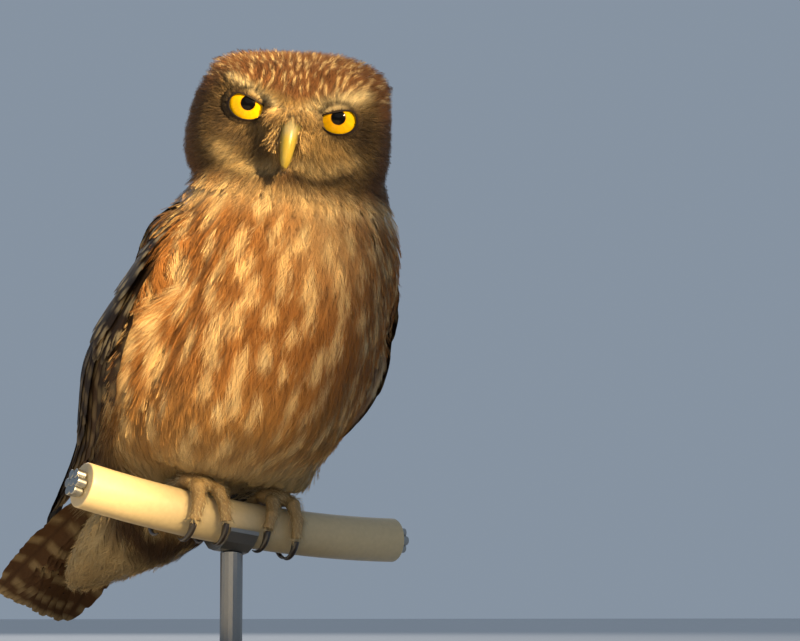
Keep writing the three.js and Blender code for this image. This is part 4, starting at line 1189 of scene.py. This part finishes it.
SOFT = [barbed(s, 28, 2, 0.56, 0.1, 1.0, 0.035) for s in range(5)]
LOOSE = [barbed(20 + s, 18, 2, 0.4, 0.18, 0.9, 0.08) for s in range(4)]
body_roots = scattered(skin_points, skin_faces, body_room, 5, 70000, 2.1)
places = body_roots[0]
under = undertailness(places)
legs = legness(places)
near_throat = ease((in_body(places)[:, 2] - 78) / 12)
length = mix(mix(12.0, 8.5, near_throat), 15, under)
length = mix(length, 5.5, legs)
width = length * mix(0.56, 0.42, under)
downy = under + legs > 0.4
body_lot = planted(body_roots, ~downy, length, width, SOFT, 6)
down_lot = planted(body_roots, downy, length, width, LOOSE, 7, wander=0.16)
coat_piece("breast_feathers", body_lot, PLUMAGE)
coat_piece("downy_feathers", down_lot, PLUMAGE)


def flank_lot(leaf, seed, count, farthest):
    """Soft feathers that bridge the crease between the flank and the edge of the folded wing."""
    rng = np.random.default_rng(seed)
    s = rng.uniform(0.1, farthest, count)
    length = rng.uniform(10, 14, count)
    edge, before = leaf.point(s, 0 * s + 1), leaf.point(s, 0 * s + 0.9)
    outward = unit(edge - before)
    roots = beside_trunk(edge + outward * rng.uniform(1, 9, count)[:, None], -2.2)[1]
    share = rng.uniform(0, 1, count)
    stops = [roots]
    for along, rise in ((0.5, 0.2), (1.0, 1.3)):
        on_edge = leaf.point(clamp01(s + length / 75 * along), 1 - 0.07 * share * along)
        up = leaf.normal(clamp01(s + length / 75 * along), 0 * s + 0.97)
        over_edge = on_edge + up * (rise * rng.uniform(0.6, 1.2, count))[:, None]
        down = roots + unit(np.array([0, 0.35, -1.0])) * (length * along)[:, None]
        beside = beside_trunk(down, 2.2 * along - 1)[1]
        stops.append(mix(beside, over_edge, (share * (0.55 + 0.45 * along))[:, None]))
    stops = from_body(np.stack(stops, axis=1))
    up = from_body(leaf.normal(s, 0 * s + 1))
    ups = np.repeat(up[:, None], 3, axis=1)
    colour_of, patch = coat_colour(stops[:, 1]), patch_at(stops[:, 0])
    return laid(SOFT[seed % len(SOFT)], stops, ups, length * 0.5, 0.25, colour_of, patch, rng)


# For each side a seed, how many feathers and how far back along the wing they go
FLANKS = {"left": (22, 260, 0.42), "right": (23, 520, 0.8)}
flanks = gather([flank_lot(LEAVES[name], *row) for name, row in FLANKS.items()])
coat_piece("flank_feathers", flanks, PLUMAGE)


# The coat of the head: short dense feathers over the crown and nape, narrow bristly ones that ring each eye
# and form the face discs, finest beside the eyes, and fine pale bristles that hang from the lores over the
# root of the bill and stand out on both sides of it.
def head_room(places):
    head = in_head(places)
    on_face = ease((-head[:, 1] - 8) / 8)
    round_eye = to_eye(head)
    room = mix(1.25, 0.66, on_face)
    room = mix(room, 0.5, hill(round_eye, 9) * on_face)
    turn = np.arctan2(head[:, 2] - EYE[2], np.abs(head[:, 0]) - EYE[0])
    bare = (on_face > 0.2) & (round_eye < opening_at(turn, 1) + 0.75)
    along_bill = (np.abs(head[:, 0]) < 2.2) & (head[:, 1] < -22) & (head[:, 2] < -3) & (head[:, 2] > -11.5)
    return np.where((headness(places) <= 0.5) | bare | along_bill, 0, room)


SHORT = [barbed(40 + s, 12, 2, 0.56, 0.12, 1.0, 0.04) for s in range(5)]
BRISTLY = [barbed(60 + s, 9, 2, 0.6, 0.2, 1.0, 0.08) for s in range(5)]
on_the_head = headness(skin_points[skin_faces].mean(axis=1)) > 0.45
head_roots = scattered(skin_points, skin_faces, head_room, 8, 110000, 1.3, on_the_head)
head = in_head(head_roots[0])
on_face = ease((-head[:, 1] - 8) / 8)
close = hill(to_eye(head), 10) * on_face
nape = ease((head[:, 1] - 4) / 12)
length = mix(mix(mix(5.0, 7.5, nape), 5.2, on_face), 3.2, close)
width = length * mix(0.56, 0.4, on_face)
bristly = on_face + 0.2 * np.random.default_rng(3).random(len(head)) > 0.6
rise = 0.95 + 0.75 * ease((head[~bristly, 2] - 8) / 9)
head_lot = planted(head_roots, ~bristly, length, width, SHORT, 9, rise=rise)
face_lot = planted(head_roots, bristly, length, width, BRISTLY, 10, wander=0.2, vary=0.22)
coat_piece("head_feathers", head_lot, PLUMAGE)
coat_piece("face_feathers", face_lot, PLUMAGE)

BRISTLE_COUNT = 620
BRISTLE_SPAN = 6.5


def bristle_lot(seed, count):
    rng = np.random.default_rng(seed)
    aside = rng.uniform(0.1, BRISTLE_SPAN, count) * rng.choice([-1, 1], count)
    height = rng.uniform(-5.5, 7.5, count)
    height = np.where(np.abs(aside) < 3.2, rng.uniform(3.2, 8.0, count), height)
    roots, normals, _ = skin_ground.nearest(from_head(np.stack([aside, -29 + 0 * aside, height], axis=1)))
    out = np.abs(aside) / BRISTLE_SPAN
    way = [np.sign(aside) * (0.05 + 0.75 * out), mix(-0.75, -0.3, out), -0.7 - 0.2 * out]
    way = unit(np.stack(way, axis=1) + rng.normal(0, 0.14, (count, 3))) @ HEAD_TURN.T
    long = (rng.uniform(3.4, 6.2, count) * mix(1.0, 1.1, out))[:, None]
    stops, ups = tuft_curves(roots, way, normals, long, 0, 0.9, 0.7)

    def colour_of(points):
        dark = (rng.random((len(points), 1, 1)) < 0.35) * 0.65
        return mix(np.broadcast_to(mix(TINT["lores"], TINT["brow"], 0.12), points.shape), TINT["chin"], dark)

    return laid(BRISTLY[0], stops, ups, long[:, 0] * 0.26, 0.2, colour_of, patch_at(roots), rng, 0.2)


coat_piece("bill_bristles", bristle_lot(12, BRISTLE_COUNT), PLUMAGE)


# The wings: stiff feathers in tiers on the outside of each folded wing, from the long dark primaries at the
# tip and belly edge up to the small coverts of the shoulder, each with round cream spots near its edges.
PRIMARY = [sheet_vane(30, 9, 80 + s, 4) for s in range(4)]
COVERT = [sheet_vane(16, 9, 90 + s, 2) for s in range(4)]


# For each kind of feather the gap between its rows of spots, a spot's half length and half width, and the
# share of the feather's length at which the first row lies
SPOT_ROWS = {"flight": (0.15, 0.042, 0.34, 0.2), "covert": (0.34, 0.085, 0.36, 0.5),
             "scapular": (0.4, 0.11, 0.42, 0.52)}
VANE_DROOP = 0.35


def vane_patch(root, u, v):
    """The patch of a stiff feather, round the place of the unwrap that is nearest to its root."""
    spread = np.stack([np.clip(u, -1, 1), 2 * clamp01(v) - 1], axis=1) * PATCH_MOST
    return patch_at(root[None])[0] + spread


def stiff_colours(u, v, rng, kind):
    """Dark brown vanes with rows of cream spots on both webs, a paler tip and a dark shaft."""
    base = mix(TINT["wing"], TINT["back"], rng.uniform(0, 0.45)) * rng.uniform(0.8, 1.15)
    colour = np.broadcast_to(base, (len(u), 3))
    spots = np.zeros(len(u))
    gap, length, width, first = SPOT_ROWS[kind]
    start = first + rng.uniform(-0.03, 0.03)
    for centre in np.arange(start, 0.95, gap):
        for edge in (-1, 1):
            a = (v - centre - rng.uniform(-0.01, 0.01)) / length
            b = (u - edge * 0.62) / width
            spots = np.maximum(spots, ease((1.15 - np.hypot(a, b)) / 0.45))
    shown = 0.16 if kind == "flight" else 0.62
    colour = mix(colour, TINT["cream"] * 0.75, (spots * shown)[:, None])
    colour = mix(colour, TINT["pale"] * 0.7, (0.3 * ease((v - 0.93) / 0.07))[:, None])
    return mix(colour, TINT["dark"], (0.3 * hill(u, 0.07))[:, None])


def stiff_feather(leaf, pattern, root, tip, width, lift, rng, kind):
    """One stiff feather along the leaf of the wing, as points, faces, colours and a patch for each point."""
    shape, faces = pattern
    u, v = shape[:, 0], shape[:, 1]
    root, tip = np.asarray(root, float), np.asarray(tip, float)

    def path(share):
        st = root + (tip - root) * share[:, None]
        rise = mix(lift[0], lift[1], np.sqrt(clamp01(share)))
        return leaf.point(st[:, 0], st[:, 1]) + leaf.normal(st[:, 0], st[:, 1]) * rise[:, None]

    st = root + (tip - root) * v[:, None]
    up = leaf.normal(st[:, 0], st[:, 1])
    ahead = unit(path(np.minimum(1, v + 0.02)) - path(np.maximum(0, v - 0.02)))
    across = unit(np.cross(ahead, up))
    half = width / 2
    ripple = 0.12 * np.sin(9 * v + rng.uniform(0, 6)) * u
    lifted = up * (ripple - VANE_DROOP * half * u * u * 0.3)[:, None]
    points = path(clamp01(v)) + across * (u * half)[:, None] + lifted
    colours = clamp01(stiff_colours(u, v, rng, kind) * rng.normal(1, 0.05, (len(u), 1)))
    return from_body(points), faces, colours, vane_patch(from_body(leaf.point(root[0], root[1])), u, v)


# For each tier, from the primaries to the inner scapulars: the kind, how many feathers and how wide, the
# bulge of the line of tips, s and t at the first and last root and at the first and last tip, the lifts of
# the first feather's root and tip, and the step up from one tip to the next
WING_TIERS = [
    ("flight", 10, 8.5, 0.05, (0.3, 0.95, 0.3, 0.62), (0.78, 0.96, 0.98, 0.5), (0.5, 0.9), 0.22),
    ("flight", 9, 11, 0.02, (0.28, 0.76, 0.24, 0.24), (0.74, 0.74, 0.62, 0.24), (1.0, 2.6), 0.16),
    ("flight", 4, 11, 0.0, (0.24, 0.22, 0.2, 0.06), (0.6, 0.18, 0.48, 0.06), (1.6, 4.0), 0.2),
    ("covert", 6, 6.5, 0.02, (0.16, 0.84, 0.16, 0.7), (0.44, 0.94, 0.5, 0.82), (0.8, 2.2), 0.14),
    ("covert", 9, 10.5, 0.01, (0.18, 0.74, 0.14, 0.14), (0.45, 0.78, 0.38, 0.13), (1.8, 3.4), 0.09),
    ("covert", 8, 10, 0.01, (0.09, 0.72, 0.08, 0.18), (0.32, 0.78, 0.29, 0.17), (2.0, 4.2), 0.06),
    ("covert", 8, 9, 0.01, (0.04, 0.64, 0.03, 0.2), (0.21, 0.72, 0.2, 0.19), (1.6, 4.4), 0.05),
    ("scapular", 6, 11.5, 0.0, (0.03, 0.16, 0.3, 0.04), (0.25, 0.2, 0.55, 0.08), (1.4, 5.0), 0.12),
    ("scapular", 5, 11, 0.0, (0.0, 0.02, 0.24, -0.02), (0.2, 0.06, 0.46, 0.0), (1.2, 4.6), 0.12),
]


def wing_feathers(leaf, seed):
    rng = np.random.default_rng(seed)
    lots = []
    for kind, count, width, bulge, root, tip, lift, step in WING_TIERS:
        patterns = PRIMARY if kind == "flight" else COVERT
        for i in range(count):
            share = i / (count - 1)
            jitter = rng.normal(0, 0.008, 4)
            start = (mix(root[0], root[2], share) + jitter[0], mix(root[1], root[3], share) + jitter[1])
            end = (mix(tip[0], tip[2], share) + bulge * math.sin(math.pi * share) + jitter[2],
                   mix(tip[1], tip[3], share) + jitter[3])
            lifts = (lift[0], lift[1] + step * i)
            pattern = patterns[rng.integers(0, 4)]
            size = width * rng.uniform(0.92, 1.08)
            lots.append(stiff_feather(leaf, pattern, start, end, size, lifts, rng, kind))
    return gather(lots)


STIFF = finish("wing and tail feathers", attribute="plumage", roughness=0.62, mottle=(160, 1800, 0.22),
               bump=(1500, 0.2, 0.0002), stretch=(1, 1, 0.25), Specular_IOR_Level=0.12)
for name, seed in (("left", 31), ("right", 32)):
    made = coat_piece(f"wing_feathers_{name}", wing_feathers(LEAVES[name], seed), STIFF)
    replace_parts(made[0], f"wing_{name}")


# The tail: twelve brown feathers with broken pale bars, in a narrow fan that is carried partly folded, the
# middle pair on top and the outermost pair underneath.
TAIL_VANE = [sheet_vane(40, 11, 110 + s, 5, 0.03) for s in range(4)]


def tail_feather(i, rng):
    shape, faces = TAIL_VANE[i % 4]
    u, v = shape[:, 0], shape[:, 1]
    side = 1 if i % 2 else -1
    outward = (i // 2 + 0.5) / 6
    lift = 0.85 * (5 - i // 2) + (0 if side > 0 else 0.42)
    turn = side * math.radians(4.6) * outward
    length = TAIL_LENGTH * (1 - 0.075 * outward**2) * rng.uniform(0.99, 1.005)
    half = 5.4
    x = side * 8 * outward + math.sin(turn) * length * v + u * half * math.cos(turn)
    y = math.cos(turn) * length * v - u * half * math.sin(turn)
    z = lift - 1.5 * v * v - 0.03 * (u * half) ** 2
    bars = np.zeros(len(u))
    for k in range(5):
        centre = 0.34 + 0.14 * k + rng.uniform(-0.012, 0.012)
        wave = 0.02 * np.abs(u) + rng.uniform(-0.004, 0.004)
        bar = ease((0.03 - np.abs(v - centre - wave)) / 0.016) * ease((np.abs(u) - 0.12) / 0.2)
        bars = np.maximum(bars, bar)
    base = mix(TINT["back"], TINT["breast"], 0.1) * rng.uniform(0.75, 1.0)
    colour = mix(np.broadcast_to(base, (len(u), 3)), TINT["pale"] * 0.7, (0.42 * bars)[:, None])
    colour = mix(colour, TINT["pale"] * 0.9, (0.6 * ease((v - 0.955) / 0.04))[:, None])
    colour = mix(colour, TINT["dark"], (0.4 * hill(u, 0.06))[:, None])
    colour = clamp01(colour * rng.normal(1, 0.05, (len(u), 1)))
    return on_tail(np.stack([x, y, z], axis=1)), faces, colour, vane_patch(on_tail([x[0], 10, z[0]]), u, v)


tail_rng = np.random.default_rng(41)
tail_lot = gather([tail_feather(i, tail_rng) for i in range(12)])
made = coat_piece("tail_feathers", tail_lot, STIFF)
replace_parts(made[0], "tail")


# The bill: a short hooked upper half in yellow-green horn, with a soft cere and two nostrils at its root,
# and a lower half tucked behind it. Both are swept, and the cere is melted into the upper half.
def head_line(rows, steps):
    """A finer run of centres and half sizes through rows of x, y, z, wide, deep in the head's frame."""
    line = smooth_line(rows, steps)
    return from_head(line[:, :3]), np.maximum(line[:, 3], 0.05), np.maximum(line[:, 4], 0.05)


UPPER_BILL = [
    (0, -20, 1.2, 3.0, 3.8), (0, -26, -0.4, 2.9, 3.7), (0, -29.6, -3.2, 2.6, 3.2), (0, -31.2, -6.8, 2.3, 2.7),
    (0, -31.7, -10.2, 1.8, 2.0), (0, -31.2, -12.9, 1.1, 1.25), (0, -30.4, -15, 0.35, 0.4),
]
LOWER_BILL = [
    (0, -21, -7.5, 2.6, 2.2), (0, -25.5, -9.6, 2.1, 1.9), (0, -27.8, -12, 1.5, 1.3),
    (0, -28.8, -13.6, 0.8, 0.6),
]
NOSTRIL = np.array([2.3, -27.6, -0.8])


def round_ball(centre, radius):
    polar = np.linspace(0.12, math.pi - 0.12, 12)
    centres = np.asarray(centre) + np.stack([0 * polar, 0 * polar, -np.cos(polar) * radius], axis=1)
    size = np.sin(polar) * radius
    return tube(centres, size, size, 18, across=(1, 0, 0))


centres, wide, deep = head_line(UPPER_BILL, 48)
upper_parts = [tube(centres, wide, deep, 36, across=HEAD_TURN[:, 0])]
for side in (-1, 1):
    upper_parts.append(round_ball(from_head(NOSTRIL * [side, 1, 1]), 1.75))
bill_points, bill_faces = remeshed("rough_bill", upper_parts, 0.24)
bill_points = relaxed(bill_points, bill_faces, 8)
bill_head = in_head(bill_points)
for side in (-1, 1):
    hole = (NOSTRIL + [1.15, -0.95, 0.1]) * [side, 1, 1]
    away = np.linalg.norm(bill_head - hole, axis=1)
    inward = unit(NOSTRIL * [side, 1, 1] - hole)
    bill_head = bill_head + inward * (0.9 * np.exp(-((away / 0.6) ** 4)))[:, None]
horn = {name: linear(code) for name, code in {
    "cere": "8f8560", "horn": "9c882a", "shaded_green": "6f6a27", "tip": "927b2a", "hole": "2a251a"}.items()}
height = bill_head[:, 2]
colour = mix(horn["cere"], horn["horn"], ease((-1.5 - height) / 4)[:, None])
# The sides of the bill are darker green: partly the horn's own green, partly painted shade.
colour = mix(colour, horn["shaded_green"], (0.6 * ease((np.abs(bill_head[:, 0]) - 1.2) / 1.4))[:, None])
colour = mix(colour, horn["tip"], ease((-12.5 - height) / 3)[:, None])
# A dark spot in each nostril's dent: painted shade in the hole.
for side in (-1, 1):
    hole = (NOSTRIL + [0.9, -0.8, 0.1]) * [side, 1, 1]
    colour = mix(colour, horn["hole"], hill(np.linalg.norm(bill_head - hole, axis=1), 0.62)[:, None])
HORN = finish("bill horn", attribute="plumage", roughness=0.36, mottle=(350, 2600, 0.2),
              bump=(1400, 0.15, 0.0002), Coat_Weight=0.35, Subsurface_Weight=0.08)
HORN.node_tree.nodes["Principled BSDF"].inputs["Subsurface Scale"].default_value = 0.001
bill = piece("bill_upper_horn", from_head(bill_head), bill_faces, HORN, colours=clamp01(colour))
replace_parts(bill, "bill_upper")
centres, wide, deep = head_line(LOWER_BILL, 24)
points, faces = tube(centres, wide, deep, 28, across=HEAD_TURN[:, 0])
colour = np.broadcast_to(horn["horn"] * 0.85, points.shape)
lower_bill = piece("bill_lower_horn", points, faces, HORN, colours=colour)
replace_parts(lower_bill, "bill_lower")


# The eyes: a ball with a round black pupil in a clear yellow iris that darkens at its rim, under a wet coat,
# and round it a dark lid, a shell on the ball whose upper edge slants down towards the bill and which tiny
# bristly feathers cover up to its bare rim.
EYE_RADIUS = 7.4
PUPIL = 2.25
IRIS = 6.4
GAZE_UP = 0.75
LID_TUFTS = 460
# For each ring of the lid how far it lies outside the opening, its least radius, the ball it lies on and how
# pale it is
LID_RINGS = [
    (1.3, 6.2, 7.1, 1), (1.1, 5.6, 7.4, 0.9), (0.85, 0, 7.6, 0.6), (0.55, 0, 7.85, 0.25),
    (0.28, 0, 7.97, 0), (0.06, 0, 7.9, 0), (0.0, 0, 7.75, 0), (0.12, 0, 7.3, 0),
]


def eyeball(side):
    rng = np.random.default_rng(51 + side)
    rings, sides = 72, 96
    polar = np.concatenate([np.linspace(0.01, 0.8, 56), np.linspace(0.83, math.pi - 0.02, rings - 56)])
    turn = np.linspace(0, 2 * math.pi, sides, endpoint=False)
    reach = EYE_RADIUS + 0.35 * np.exp(-((polar / 0.5) ** 4)) - 0.3
    r = (np.sin(polar) * reach)[:, None]
    local = np.stack([r * np.cos(turn), np.repeat((-np.cos(polar) * reach)[:, None], sides, axis=1),
                      r * np.sin(turn)], axis=-1) @ turn_about("x", -math.degrees(GAZE_UP / EYE_RADIUS)).T
    fibres = rng.normal(0, 1, sides)
    fibres = 0.5 * fibres + 0.25 * (np.roll(fibres, 1) + np.roll(fibres, -1))
    across = (np.sin(polar) * EYE_RADIUS)[:, None] + 0 * turn
    outer = ease((across - PUPIL) / (IRIS - PUPIL))
    iris = mix(linear("e0a808"), linear("edc010"), outer[..., None]) * (1 + 0.07 * fibres[None, :, None])
    iris = mix(iris, linear("6b4708"), ease((across - IRIS + 0.7) / 0.7)[..., None])
    iris = mix(iris, linear("b87a10"), (0.6 * hill(across - PUPIL, 0.25))[..., None])
    colour = mix(linear("050403"), iris, ease((across - PUPIL + 0.06) / 0.14)[..., None])
    colour = mix(colour, linear("17110c"), ease((across - IRIS) / 0.3)[..., None])
    centre = EYE * [side, 1, 1]
    points, faces = capped(from_head(local.reshape(-1, 3) + centre), rings, sides)
    ends = np.array([linear("050403"), linear("17110c")])
    return points, faces, np.concatenate([clamp01(colour.reshape(-1, 3)), ends])


def eyelid(side):
    sides = 96
    turn = np.linspace(0, 2 * math.pi, sides, endpoint=False)
    opening = opening_at(turn, side)
    local = []
    for beyond, least, ball, _ in LID_RINGS:
        r = np.maximum(opening + beyond, least)
        y = -np.sqrt(np.maximum(ball * ball - r * r, 0.01))
        local.append(np.stack([r * np.cos(turn), y, r * np.sin(turn)], axis=1))
    points = from_head(np.concatenate(local) + EYE * [side, 1, 1])
    faces = ring_faces(len(LID_RINGS), sides)
    paler = np.repeat([ring[-1] for ring in LID_RINGS], sides)[:, None]
    return points, faces[:, ::-1], mix(LID_COLOUR, TINT["rim"], paler)


def lid_feathers(side):
    """Tiny bristly feathers that stand on the lid and lie outwards from its bare rim."""
    rng = np.random.default_rng(55 + side)
    turn = rng.uniform(-math.pi, math.pi, LID_TUFTS)
    outward = np.stack([np.cos(turn), 0 * turn, np.sin(turn)], axis=1)
    r = opening_at(turn, side) + rng.uniform(0.4, 1.7, LID_TUFTS)
    place = outward * r[:, None] - [0, 1, 0] * np.sqrt(7.8**2 - r * r)[:, None]
    normals = unit(place)
    way = unit(outward - normals * np.sum(outward * normals, axis=1, keepdims=True))
    way = unit(way + np.cross(normals, way) * rng.normal(0, 0.25, LID_TUFTS)[:, None])
    long = rng.uniform(1.5, 2.6, LID_TUFTS)[:, None]
    stops, ups = tuft_curves(place, way, normals, long, -0.2, 0.2, 0.15)
    stops = from_head(stops + EYE * [side, 1, 1])
    colour_of, patch = coat_colour(stops[:, 1], 3), patch_at(stops[:, 0])
    return laid(BRISTLY[0], stops, ups @ HEAD_TURN.T, long[:, 0] * 0.34, 0.2, colour_of, patch, rng)


WET = finish("eye", attribute="plumage", roughness=0.22, mottle=(900, 4000, 0.05), bump=(900, 0.02, 0.0001),
             Coat_Weight=0.22, Coat_Roughness=0.02, Specular_IOR_Level=0.03)
LID_COLOUR = linear("1d1510")
LID = finish("eyelid", attribute="plumage", roughness=0.65, mottle=(400, 3000, 0.4),
             bump=(2600, 0.35, 0.0002), Specular_IOR_Level=0.25)
for name, side in (("left", 1), ("right", -1)):
    points, faces, colours = eyeball(side)
    ball = piece(f"eyeball_{name}", points, faces, WET, colours=colours)
    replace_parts(ball, f"eye_{name}")
    points, faces, colours = eyelid(side)
    lid = piece(f"lid_{name}", points, faces, LID, colours=colours)
    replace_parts(lid, f"eyelid_{name}")
coat_piece("lid_feathers", gather([lid_feathers(-1), lid_feathers(1)]), PLUMAGE)


# The feet: two toes over the front of the perch and two over its back, padded below, covered above in thin
# pale bristly feathers, with a curved dark claw on each.
STANCE = 14.0
# For each toe its number, its root and drift along the perch, whether it goes round the front (1) or the
# back (-1), and the angle at which its claw starts
TOES = [(1, -3.4, -3, -1, 88), (2, -3.6, -3, 1, 98), (3, 3, 1, 1, 108), (4, 3.8, 4.5, -1, 96)]


def on_perch(x, angle, distance):
    ahead = unit(perch_middle(x + 0.5) - perch_middle(x - 0.5))
    front = np.array([0.0, -1.0, 0.0])
    up = np.cross(np.broadcast_to(front, ahead.shape), ahead)
    out = up * (np.cos(angle) * distance)[:, None] + front * (np.sin(angle) * distance)[:, None]
    return perch_middle(x) + out


def claw(side, along, drift, turn, end):
    share = np.linspace(0, 1, 22)
    angle = np.radians(turn * (end + 62 * share) + turn * 3.6)
    x = side * (STANCE + along + drift * (1 + 0.15 * share))
    radius = mix(1.35, 0.12, share**1.2)
    clear = 0.5 + 1.5 * np.sin(math.pi * share) + (1 - share) * 0.5
    return tube(on_perch(x, angle, PERCH_RADIUS + GAP + radius + clear), radius * 0.85, radius * 1.05, 16,
                across=(1, 0, 0))


CLAW = finish("claw horn", "2d2622", roughness=0.3, mottle=(500, 3000, 0.35), bump=(1500, 0.12, 0.0002),
              Coat_Weight=0.4)
SOLE = finish("toe skin", "9c8258", roughness=0.6, mottle=(500, 2600, 0.3), bump=(1500, 0.5, 0.0004))


def toe_tint(points):
    return np.broadcast_to(linear("cdb98e"), points.shape)


for name, side in (("left", 1), ("right", -1)):
    names = [f"foot_{name}"] + [f"toe_{name}_{toe[0]}" for toe in TOES]
    foot_points, foot_faces = remeshed("rough_foot", [corners_of(nodes[n].data) for n in names], 0.5)
    foot_points = relaxed(foot_points, foot_faces, 6)
    foot_points = foot_points - point_normals(foot_points, foot_faces) * 0.25
    foot = piece(f"toes_{name}", foot_points, foot_faces, SOLE)
    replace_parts(foot, *names)
    for number, *bend in TOES:
        nail = piece(f"nail_{name}_{number}", *claw(side, *bend), CLAW)
        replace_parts(nail, f"claw_{name}_{number}")

    def outer_side(places):
        axis = perch_middle(places[:, 0])
        return np.where(np.linalg.norm(places - axis, axis=1) > PERCH_RADIUS + 2.2, 0.85, 0)

    ground = Ground(foot_points, foot_faces)
    places, at, shares = scattered(foot_points, foot_faces, outer_side, 60 + side, 9000, 1.0)
    rng = np.random.default_rng(70 + side)
    normals = ground.normals_at(at, shares)
    axis = perch_middle(places[:, 0])
    out = unit((places - axis) * [0, 1, 1])
    round_way = np.where(places[:, 1:2] < 0, -1.0, 1.0) * np.cross(out, [1.0, 0.0, 0.0])
    round_way = unit(round_way - normals * np.sum(round_way * normals, axis=1, keepdims=True) + normals * 0.3)
    long = rng.uniform(1.6, 3.0, len(places))[:, None]
    stops, ups = tuft_curves(places, round_way, normals, long, -0.2, 0.25, 0.2)
    tufts = laid(BRISTLY[side], stops, ups, long[:, 0] * 0.5, 0.2, toe_tint, patch_at(places), rng)
    coat_piece(f"toe_feathers_{name}", tufts, PLUMAGE)
